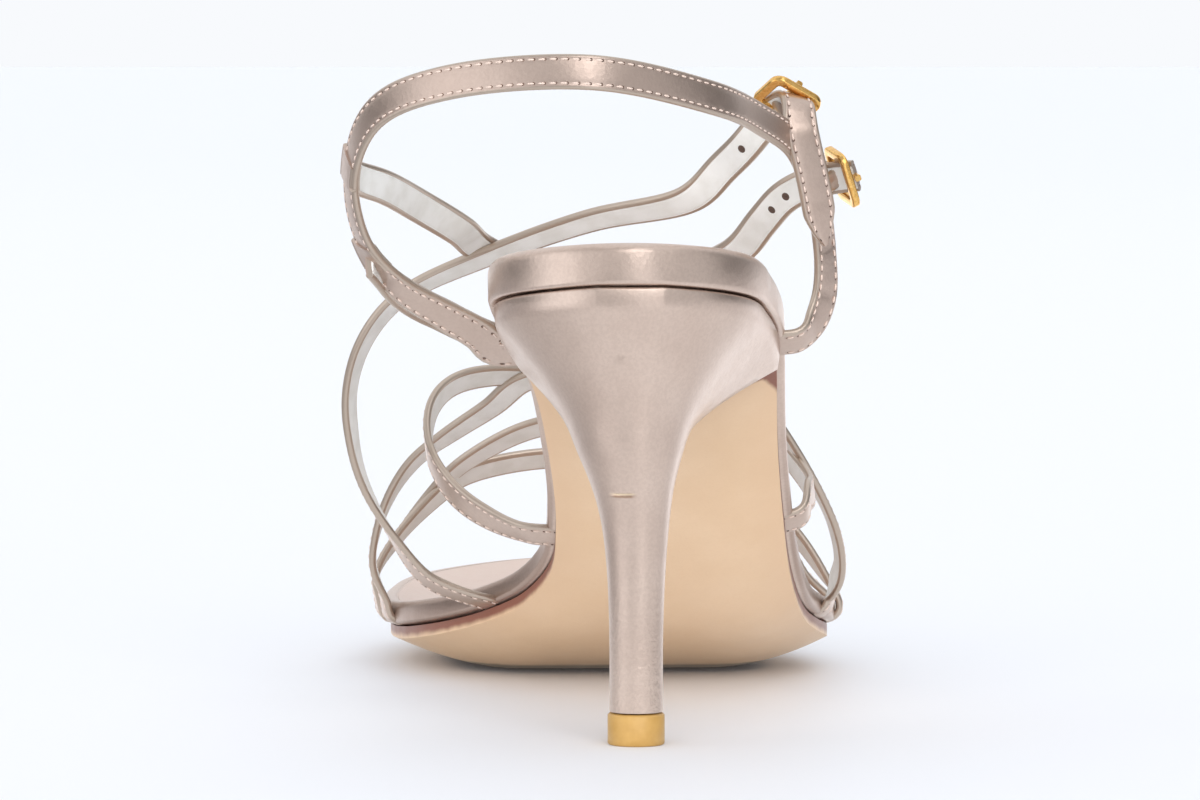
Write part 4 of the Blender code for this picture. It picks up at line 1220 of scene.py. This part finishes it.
def strap_leather():
    """Foiled leather folded over a pale lining, sewn along both edges."""
    paint = Paint("strap_leather")
    along = paint.node("SeparateXYZ", None, {0: paint.kept("strap", "Vector")})
    aside = abs(along.out("Y"))
    layer = along.out("Z")
    outer = paint.ramp(layer, 0.4, 0.6)
    lining = 1.0 - paint.ramp(layer, -0.75, -0.55)
    row = STRAP_WIDTH / 2 - STITCH_INSET
    phase = (along / STITCH_PITCH + 0.5).math("FRACT")
    pit_along = phase.math("MINIMUM", 1.0 - phase) * STITCH_PITCH
    pit_off = (pit_along**2.0 + (aside - row) ** 2.0).math("SQRT")
    pit = (1.0 - paint.ramp(pit_off, 0.1, 0.28)) * outer
    edge = (1.0 - outer) * (1.0 - lining)
    shade = paint.mix(edge * 0.7, paint.mix(0.4, foil_colour(paint), ROSE_SHADE), EDGE)
    inner = paint.mix(paint.ramp(paint.noise(5.0, 4.0), 0.35, 0.7), LINING, LINING_SHADE)
    shade = paint.mix(pit * 0.9, paint.mix(lining, shade, inner), PIT)
    seam = paint.near(aside, row, 0.3) * lining
    low = paint.bump_of(1.0 - pit, 0.25)
    low = paint.bump_of(1.0 - seam, 0.06, 1.0, low)
    rough = FOIL_ROUGH + lining * 0.24 + paint.waver(1.8, 0.18)
    metal = FOIL_METAL * (1.0 - lining)
    return foil_finish(paint, shade, rough, metal, STRAP_COAT, low)


def stitch_thread():
    """Waxed thread in the leather's colour."""
    paint = Paint("stitch_thread")
    shade = paint.mix(paint.noise(0.3, 2.0), ROSE_LIGHT, ROSE)
    twist = paint.bump_of(paint.noise(0.12, 2.0), 0.03)
    return paint.finish(Base_Color=shade, Roughness=THREAD_ROUGH, Normal=twist)


def outsole_leather():
    """Smooth tan sole leather, burnished reddish brown along its edge, with a painted contact shadow by the
    floor.
    """
    paint = Paint("outsole_leather")
    rim = paint.kept("rim")
    stain = 1.0 - paint.ramp(rim + paint.waver(3.0, 0.7), STAIN_LINE * 0.4, STAIN_LINE)
    cloud = paint.ramp(paint.noise(26.0, 4.0, 0.6), 0.3, 0.7)
    fibre = paint.ramp(paint.noise(0.5, 3.0, 0.7), 0.4, 0.75)
    shade = paint.mix(fibre * 0.16, paint.mix(cloud, TAN, TAN_LIGHT), TAN_SHADE)
    shade = paint.mix((1.0 - paint.ramp(rim, 1.0, 9.0)) * 0.35, shade, TAN_SHADE)
    shade = paint.mix(stain * 0.92, shade, STAIN)
    # Painted contact shadow: the sole darkens within about 2 mm of the floor
    tread = 1.0 - paint.ramp(paint.axis("Z") + paint.waver(5.0, 0.5), *CONTACT_SHADOW_Z)
    shade = paint.mix(tread * 0.9, shade, CONTACT_SHADOW)
    rough = SOLE_ROUGH + paint.waver(4.0, 0.2)
    grain = paint.bump_of(paint.noise(0.35, 3.0, 0.6), 0.035, 0.6)
    return paint.finish(Base_Color=shade, Roughness=rough, Normal=grain, Coat_Weight=0.15, Coat_Roughness=0.3)


def tip_rubber():
    """The mustard wearing piece, scuffed along its foot."""
    paint = Paint("tip_rubber")
    scuff = (1.0 - paint.ramp(paint.axis("Z") + paint.waver(1.2, 1.4), *SCUFF_Z)) * 0.5
    shade = paint.mix(scuff, paint.mix(paint.noise(2.0, 4.0), MUSTARD, MUSTARD_SHADE), MUSTARD_SHADE)
    rough = TIP_ROUGH + scuff * 0.3
    grain = paint.bump_of(paint.noise(0.4, 3.0), 0.04, 0.5)
    return paint.finish(Base_Color=shade, Roughness=rough, Normal=grain)


def buckle_gold():
    """Polished gold plate with faint hairlines."""
    paint = Paint("buckle_gold")
    hair = paint.noise(0.5, 4.0, 0.7)
    shade = paint.mix(paint.ramp(hair, 0.35, 0.75), GOLD, GOLD_SHADE)
    rough = GOLD_ROUGH + (hair - 0.4) * 0.2
    dents = paint.bump_of(paint.noise(1.2, 2.0), 0.02, 0.4)
    return paint.finish(Base_Color=shade, Roughness=rough, Metallic=1.0, Normal=dents)


def painted_hole_shade():
    """Painted shade for the dark inside of a hole punched through a strap."""
    paint = Paint("painted_hole_shade")
    shade = paint.mix(paint.noise(0.4, 2.0), HOLE_SHADE, PIT)
    return paint.finish(Base_Color=shade, Roughness=HOLE_ROUGH)


def studio_floor():
    """The pale floor, a little greyer into the distance with painted shade."""
    paint = Paint("studio_floor")
    place = paint.node("NewGeometry", output="Position")
    far = paint.vector("LENGTH", place, output="Value")
    shade = paint.mix(paint.ramp(far, *FLOOR_FADE), FLOOR, FLOOR_FAR_SHADE)
    return paint.finish(Base_Color=shade, Roughness=FLOOR_ROUGH)


def glow_floor():
    """The floor's painted reflection in the foil, glowing: painted shade to the left and far out at the
    sides, painted shadow under the forefoot.
    """
    paint = Paint("painted_reflection_floor")
    place = paint.node("NewGeometry", output="Position")
    x = paint.node("SeparateXYZ", None, {0: place})
    under = paint.vector("DISTANCE", place, UNDER_FOREFOOT, output="Value")
    # Painted shade to the left of the shoe, and a painted shadow under the forefoot
    dim = paint.ramp(x, *LEFT_FROM) * (1.0 - paint.ramp(x, *LEFT_TO))
    shade = paint.mix(dim, MIRROR, MIRROR_LEFT_SHADE)
    shade = paint.mix(paint.ramp(under, *UNDER_TO), MIRROR_UNDER_SHADOW, shade)
    # Far from the heel, painted shade ahead to the left, to the right and in a stripe behind
    from_heel = paint.vector("SUBTRACT", place, HEEL_FOOT)
    away = paint.vector("LENGTH", from_heel, output="Value")
    way = paint.node("SeparateXYZ", None, {0: paint.vector("NORMALIZE", from_heel)})
    ahead = paint.ramp(way.out("Y"), *AHEAD_WAY)
    sides = paint.ramp(way, *LEFT_WAY) * ahead + paint.ramp(way, *RIGHT_WAY) * 0.6
    sides = sides + paint.near(way, *STRIPE_WAY) * (1.0 - ahead) * 0.4
    shade = paint.mix(paint.ramp(away, *FAR_FROM), shade, paint.mix(sides, MIRROR_FAR, MIRROR_SIDE))
    return paint.finish(Base_Color=BLACK, Emission_Color=shade, Emission_Strength=MIRROR_GLOW)


class Strap(NamedTuple):
    """A strap of the upper: its route, whether its last end is pointed, and how much each end is flared."""

    name: str
    route: tuple
    pointed: bool = False
    flare: tuple = STRAIGHT_ENDS


STRAPS = (
    Strap("ankle_strap", ANKLE_STRAP, False, (ANKLE_FLARE_MEDIAL, ANKLE_FLARE)),
    Strap("lateral_cross_strap", LATERAL_CROSS_STRAP),
    Strap("medial_cross_strap", MEDIAL_CROSS_STRAP, True),
    Strap("instep_strap", INSTEP_STRAP),
    Strap("lateral_waist_strap", LATERAL_WAIST_STRAP),
    Strap("medial_waist_strap", MEDIAL_WAIST_STRAP),
    Strap("rear_toe_strap", REAR_TOE_STRAP),
    Strap("front_toe_strap", FRONT_TOE_STRAP),
)


class Spot(NamedTuple):
    """A place on a named strap."""

    strap: str
    x: float
    y: float
    z: float


LOOPS = (Spot("ankle_strap", -48.6, 25.0, 97.8), Spot("ankle_strap", -45.3, 33.6, 82.0))
HOLES = (
    Spot("medial_cross_strap", 21.0, 52.3, 101.6),
    Spot("instep_strap", 28.6, 50.6, 93.3),
    Spot("instep_strap", 26.5, 54.0, 90.8),
)
HOLE_ROUND = 0.75
HOLE_SIDES = 16
HOLE_PROUD = 0.03

# What a strap's marks are multiplied by where it isn't sewn, so that no pits of stitches show
UNSEWN = np.array([1.0, 0.0, 1.0])

# Creases across straps where they bend at the buckles: place, depth and reach
CREASES = (
    (Spot("medial_cross_strap", 29.5, 36.4, 106.6), 0.22, 0.8),
    (Spot("medial_cross_strap", 30.2, 35.6, 102.2), 0.16, 0.9),
    (Spot("medial_cross_strap", 32.2, 38.4, 92.0), 0.12, 1.0),
    (Spot("ankle_strap", 33.4, 45.0, 84.0), 0.15, 0.9),
    (Spot("ankle_strap", 34.3, 46.8, 76.0), 0.18, 0.8),
    (Spot("ankle_strap", -42.0, 36.5, 79.8), 0.15, 0.9),
)


class Buckle(NamedTuple):
    """A buckle at a place on a strap, leaning from its face, with its tab's foot on the ankle strap."""

    name: str
    strap: str
    x: float
    y: float
    z: float
    lean: float
    foot: Row


BUCKLES = (
    Buckle("upper", "medial_cross_strap", 28.0, 43.0, 109.6, 15.0, Row(29.0, 38.2, 101.6, -48, 8)),
    Buckle("lower", "instep_strap", 37.5, 44.1, 96.6, -46.0, Row(32.9, 42.4, 94.4, -45, 0)),
)


def nearest(run, spot):
    """The row of a run that lies nearest to a place."""
    return int(np.argmin(np.linalg.norm(run.place - np.array([spot.x, spot.y, spot.z]), axis=1)))


def make_straps(runs, leather, thread):
    """All straps, with their loops and their sewing."""
    threads, thread_faces = [], []
    for strap in STRAPS:
        run = runs[strap.name]
        creases = [(run.along[nearest(run, spot)], depth, reach) for spot, depth, reach in CREASES
                   if spot.strap == strap.name]
        points, faces, marks = strap_mesh(run, STRAP_WIDTH, STRAP_THICK, strap.pointed, strap.flare, creases)
        piece(strap.name, points, faces, leather, "upper", {"strap": marks})
        start = TUCK if isinstance(strap.route[0], SeamEnd) else STITCH_PITCH
        end = run.along[-1] - (TUCK if isinstance(strap.route[-1], SeamEnd) else TAIL_POINT * TAIL_SEWN)
        sewn, sewn_faces = stitches(run, STRAP_WIDTH, STRAP_THICK, strap.pointed, strap.flare, start, end)
        shift = sum(len(block) for block in threads)
        thread_faces += [tuple(shift + i for i in face) for face in sewn_faces]
        threads += sewn
    piece("strap_stitching", np.concatenate(threads), thread_faces, thread, "upper")
    ankle = runs["ankle_strap"]
    for name, spot in zip(("upper_loop", "lower_loop"), LOOPS):
        k = nearest(ankle, spot)
        reach = round(LOOP_LENGTH / 2 / STRAP_STEP)
        part = slice(k - reach, k + reach + 1)
        band = Run(*[rows[part] for rows in ankle])
        ahead = np.where(band.side[:, 1:2] > 0.0, band.side, -band.side)
        band = band._replace(along=band.along - band.along[0], place=band.place + ahead * LOOP_AHEAD)
        wrap = 2 * LOOP_WRAP
        points, faces, marks = strap_mesh(band, STRAP_WIDTH + wrap, STRAP_THICK + wrap)
        piece(name, points, faces, leather, "upper", {"strap": marks * UNSEWN})


def make_holes(runs, dark):
    """Holes punched through the straps that the buckles hold, drawn as dark discs of painted shade on both
    faces.
    """
    points, faces = [], []
    for spot in HOLES:
        run = runs[spot.strap]
        k = nearest(run, spot)
        for height in (STRAP_THICK / 2 + STRAP_CROWN + HOLE_PROUD, -STRAP_THICK / 2 - HOLE_PROUD):
            centre = run.place[k] + run.normal[k] * height
            start = len(points)
            for i in range(HOLE_SIDES):
                angle = 2 * math.pi * i / HOLE_SIDES
                way = math.cos(angle) * run.heading[k] + math.sin(angle) * run.side[k]
                points.append(centre + HOLE_ROUND * way)
            faces.append(tuple(range(start, start + HOLE_SIDES)))
    piece("painted_hole_shades", points, faces, dark, "upper")


def buckle_axes(buckle, runs):
    """The buckle's middle, and its directions across the strap, along its frame and out of its face."""
    run = runs[buckle.strap]
    k = nearest(run, buckle)
    lean = math.radians(buckle.lean)
    along = run.heading[k] * math.cos(lean) + run.normal[k] * math.sin(lean)
    face = run.normal[k] * math.cos(lean) - run.heading[k] * math.sin(lean)
    return run.place[k], run.side[k], along, face


def bar_section(wide, high):
    """A bar's section with softened corners: across the bar and out of the frame's face."""
    a, b = wide / 2, high / 2
    soft = min(a, b) * BAR_SOFT
    cut = soft * BAR_CHAMFER
    corner = [(a, b - soft), (a - cut, b - cut), (a - soft, b)]
    points = corner + [(-x, y) for x, y in corner[::-1]]
    return points + [(-x, -y) for x, y in points]


def bent_bar(path, section, face, closed):
    """Points and faces of a bar with the given section along a path that lies square to a face direction."""
    path = np.array(path)
    after = np.roll(path, -1, axis=0)
    before = np.roll(path, 1, axis=0)
    if not closed:
        after[-1] = path[-1]
        before[0] = path[0]
    heading = unit(after - before)
    beside = unit(np.cross(heading, face))
    rise = np.cross(beside, heading)
    points = []
    for place, b, r in zip(path, beside, rise):
        points += [place + x * b + y * r for x, y in section]
    count = len(section)
    if not closed:
        return points, tube_faces(len(path), count)
    return points, rings_to_faces([i * count for i in range(len(path))] + [0], count)


def make_buckle(buckle, runs, gold, leather):
    """A buckle's flat frame, its prong and the leather tab that ties it to the ankle strap."""
    place, side, along, face = buckle_axes(buckle, runs)
    half_side = (BUCKLE_INSIDE + BUCKLE_BAR) / 2
    half_along = (BUCKLE_REACH + BUCKLE_BAR) / 2
    path = []
    for quarter, (a, b) in enumerate(((1, 1), (-1, 1), (-1, -1), (1, -1))):
        centre = place + side * a * (half_side - BUCKLE_CORNER) + along * b * (half_along - BUCKLE_CORNER)
        for degrees in QUARTER_TURN:
            angle = math.radians(90.0 * quarter + degrees)
            path.append(centre + BUCKLE_CORNER * (math.cos(angle) * side + math.sin(angle) * along))
    points, faces = bent_bar(path, bar_section(BUCKLE_BAR, BUCKLE_PLATE), face, True)
    piece(buckle.name + "_buckle_frame", points, faces, gold, buckle.name + "_buckle")
    hinge = place - along * half_along
    ring = BUCKLE_BAR / 2 + PIECE_GAP + PRONG_BAR / 2
    pin = []
    for degrees in PRONG_EYE:
        angle = math.radians(degrees)
        pin.append(hinge + ring * (math.cos(angle) * face - math.sin(angle) * along))
    for share, lift in PRONG_SHAPE:
        pin.append(hinge + along * 2 * half_along * share + face * ring * lift)
    points, faces = bent_bar(pin, bar_section(PRONG_BAR, PRONG_BAR), side, False)
    piece(buckle.name + "_buckle_prong", points, faces, gold, buckle.name + "_prong")
    foot = np.array([buckle.foot.x, buckle.foot.y, buckle.foot.z])
    down = foot - hinge
    down -= side * np.dot(down, side)
    down /= np.linalg.norm(down)
    apart = np.cross(side, down)
    wrap = BUCKLE_BAR / 2 + PIECE_GAP + TAB_THICK / 2
    stops = [(foot, apart), (hinge + down * TAB_STRAIGHT + apart * wrap, apart)]
    for degrees in TAB_TURN:
        angle = math.radians(degrees)
        way = math.sin(angle) * apart - math.cos(angle) * down
        stops.append((hinge + wrap * way, way))
    points, faces, marks = strap_mesh(run_through(stops), TAB_WIDTH, TAB_THICK)
    name = buckle.name + "_buckle_tab"
    piece(name, points, faces, leather, "upper", {"strap": marks * UNSEWN})


def make_shoe():
    """All pieces of the shoe."""
    leather = strap_leather()
    runs = {strap.name: strap_run(strap.route) for strap in STRAPS}
    make_insole(insole_leather())
    make_outsole(outsole_leather())
    make_heel(covered_heel_leather())
    make_heel_tip(tip_rubber())
    make_straps(runs, leather, stitch_thread())
    make_holes(runs, painted_hole_shade())
    gold = buckle_gold()
    for buckle in BUCKLES:
        make_buckle(buckle, runs, gold, leather)


class Disc(NamedTuple):
    """A round floor, in metres: its radius and how far forward and down its middle lies."""

    name: str
    radius: float
    forward: float
    down: float
    mirrored: bool


FLOORS = (Disc("floor", 30.0, 0.0, 0.0, False), Disc("painted_reflection_floor", 5.0, 4.76, 0.0002, True))
FLOOR_SIDES = 96


def make_floor():
    """A wide floor, and one just under it that only the foil mirrors and that ends near the heel: it glows as
    a painted reflection.
    """
    for disc, look in zip(FLOORS, (studio_floor(), glow_floor())):
        mesh = bpy.data.meshes.new(disc.name)
        shape = bmesh.new()
        bmesh.ops.create_circle(shape, cap_ends=True, segments=FLOOR_SIDES, radius=disc.radius)
        shape.to_mesh(mesh)
        shape.free()
        mesh.materials.append(look)
        floor = bpy.data.objects.new(disc.name, mesh)
        floor.location = (0.0, disc.forward, -disc.down)
        floor.visible_glossy = disc.mirrored
        bpy.context.scene.collection.objects.link(floor)


class Lamp(NamedTuple):
    """A soft distant light: the way to it, its spread in degrees, its power and whether metal mirrors it."""

    name: str
    x: float
    y: float
    z: float
    spread: float
    power: float
    mirrored: bool


LAMPS = (
    Lamp("key_light", 0.25, -1.0, 0.8, 40.0, 0.4, True),
    Lamp("fill_light", -0.1, -1.0, 0.14, 70.0, 3.2, False),
    Lamp("top_light", 0.1, 0.45, 1.0, 70.0, 0.35, False),
)
ROOM = colour(248, 250, 253)
ROOM_FRONT = 0.62
LEFT_BOX = (-0.85, 0.34, 0.85)
RIGHT_BOX = (0.28, 0.26, 0.95)
ROOM_LOW_SIDE = 0.03
ROOM_HIGH_LEFT = 0.8
ROOM_HIGH_RIGHT = 0.15
# Ranges of the direction in which the room gets high, left, to its sides and to the camera's part
ROOM_RISE = (0.0, 0.45)
ROOM_LEFT = (0.3, -0.3)
ROOM_SIDES = (0.4, 0.97)
ROOM_TURN = (0.2, -0.2)


def make_light():
    """Soft studio light from the front and above, in a pale room with two soft boxes and darker sides."""
    for lamp in LAMPS:
        light = bpy.data.lights.new(lamp.name, "SUN")
        light.angle = math.radians(lamp.spread)
        light.energy = lamp.power
        thing = bpy.data.objects.new(lamp.name, light)
        thing.location = (lamp.x, lamp.y, lamp.z)
        thing.rotation_euler = thing.location.to_track_quat("Z", "Y").to_euler()
        thing.visible_glossy = lamp.mirrored
        bpy.context.scene.collection.objects.link(thing)
    world = bpy.data.worlds.new("studio")
    room = Paint(world, "Background")
    x = room.node("SeparateXYZ", None, {0: room.node("TexCoord", output="Generated")})
    high = room.ramp(x.out("Z"), *ROOM_RISE)
    left = room.ramp(x, *ROOM_LEFT)
    wall = high * (left * (ROOM_HIGH_LEFT - ROOM_HIGH_RIGHT) + ROOM_HIGH_RIGHT) + ROOM_LOW_SIDE
    behind = 1.0 - room.ramp(abs(x), *ROOM_SIDES) * (1.0 - wall)
    before = ROOM_FRONT
    for middle, reach, power in (LEFT_BOX, RIGHT_BOX):
        before = room.near(x, middle, reach) * power + before
    front = room.ramp(x.out("Y"), *ROOM_TURN)
    room.finish(Color=ROOM, Strength=behind * (1.0 - front) + before * front)
    bpy.context.scene.world = world


CAMERA_PLACE = (-66.57, -1040.0, 120.0)
# The photograph's focal length and width in pixels, and how much closer the frame is drawn round the shoe
FOCAL_PIXELS = 3074.0
PHOTO_PIXELS = 1200.0
CLOSER = 2.02
SENSOR = 36.0
CAMERA_AIM = (0.0569, 1.0, -0.0576)


def make_camera():
    """The photograph's viewpoint, turned and closed in on the one shoe."""
    lens = bpy.data.cameras.new("camera")
    lens.sensor_width = SENSOR
    lens.lens = FOCAL_PIXELS * CLOSER / PHOTO_PIXELS * SENSOR
    camera = bpy.data.objects.new("camera", lens)
    camera.location = placed([CAMERA_PLACE])[0]
    camera.rotation_euler = Vector(CAMERA_AIM).to_track_quat("-Z", "Y").to_euler()
    bpy.context.scene.collection.objects.link(camera)
    bpy.context.scene.camera = camera
    bpy.context.scene.view_settings.view_transform = "Standard"


make_shoe()
make_floor()
make_light()
make_camera()
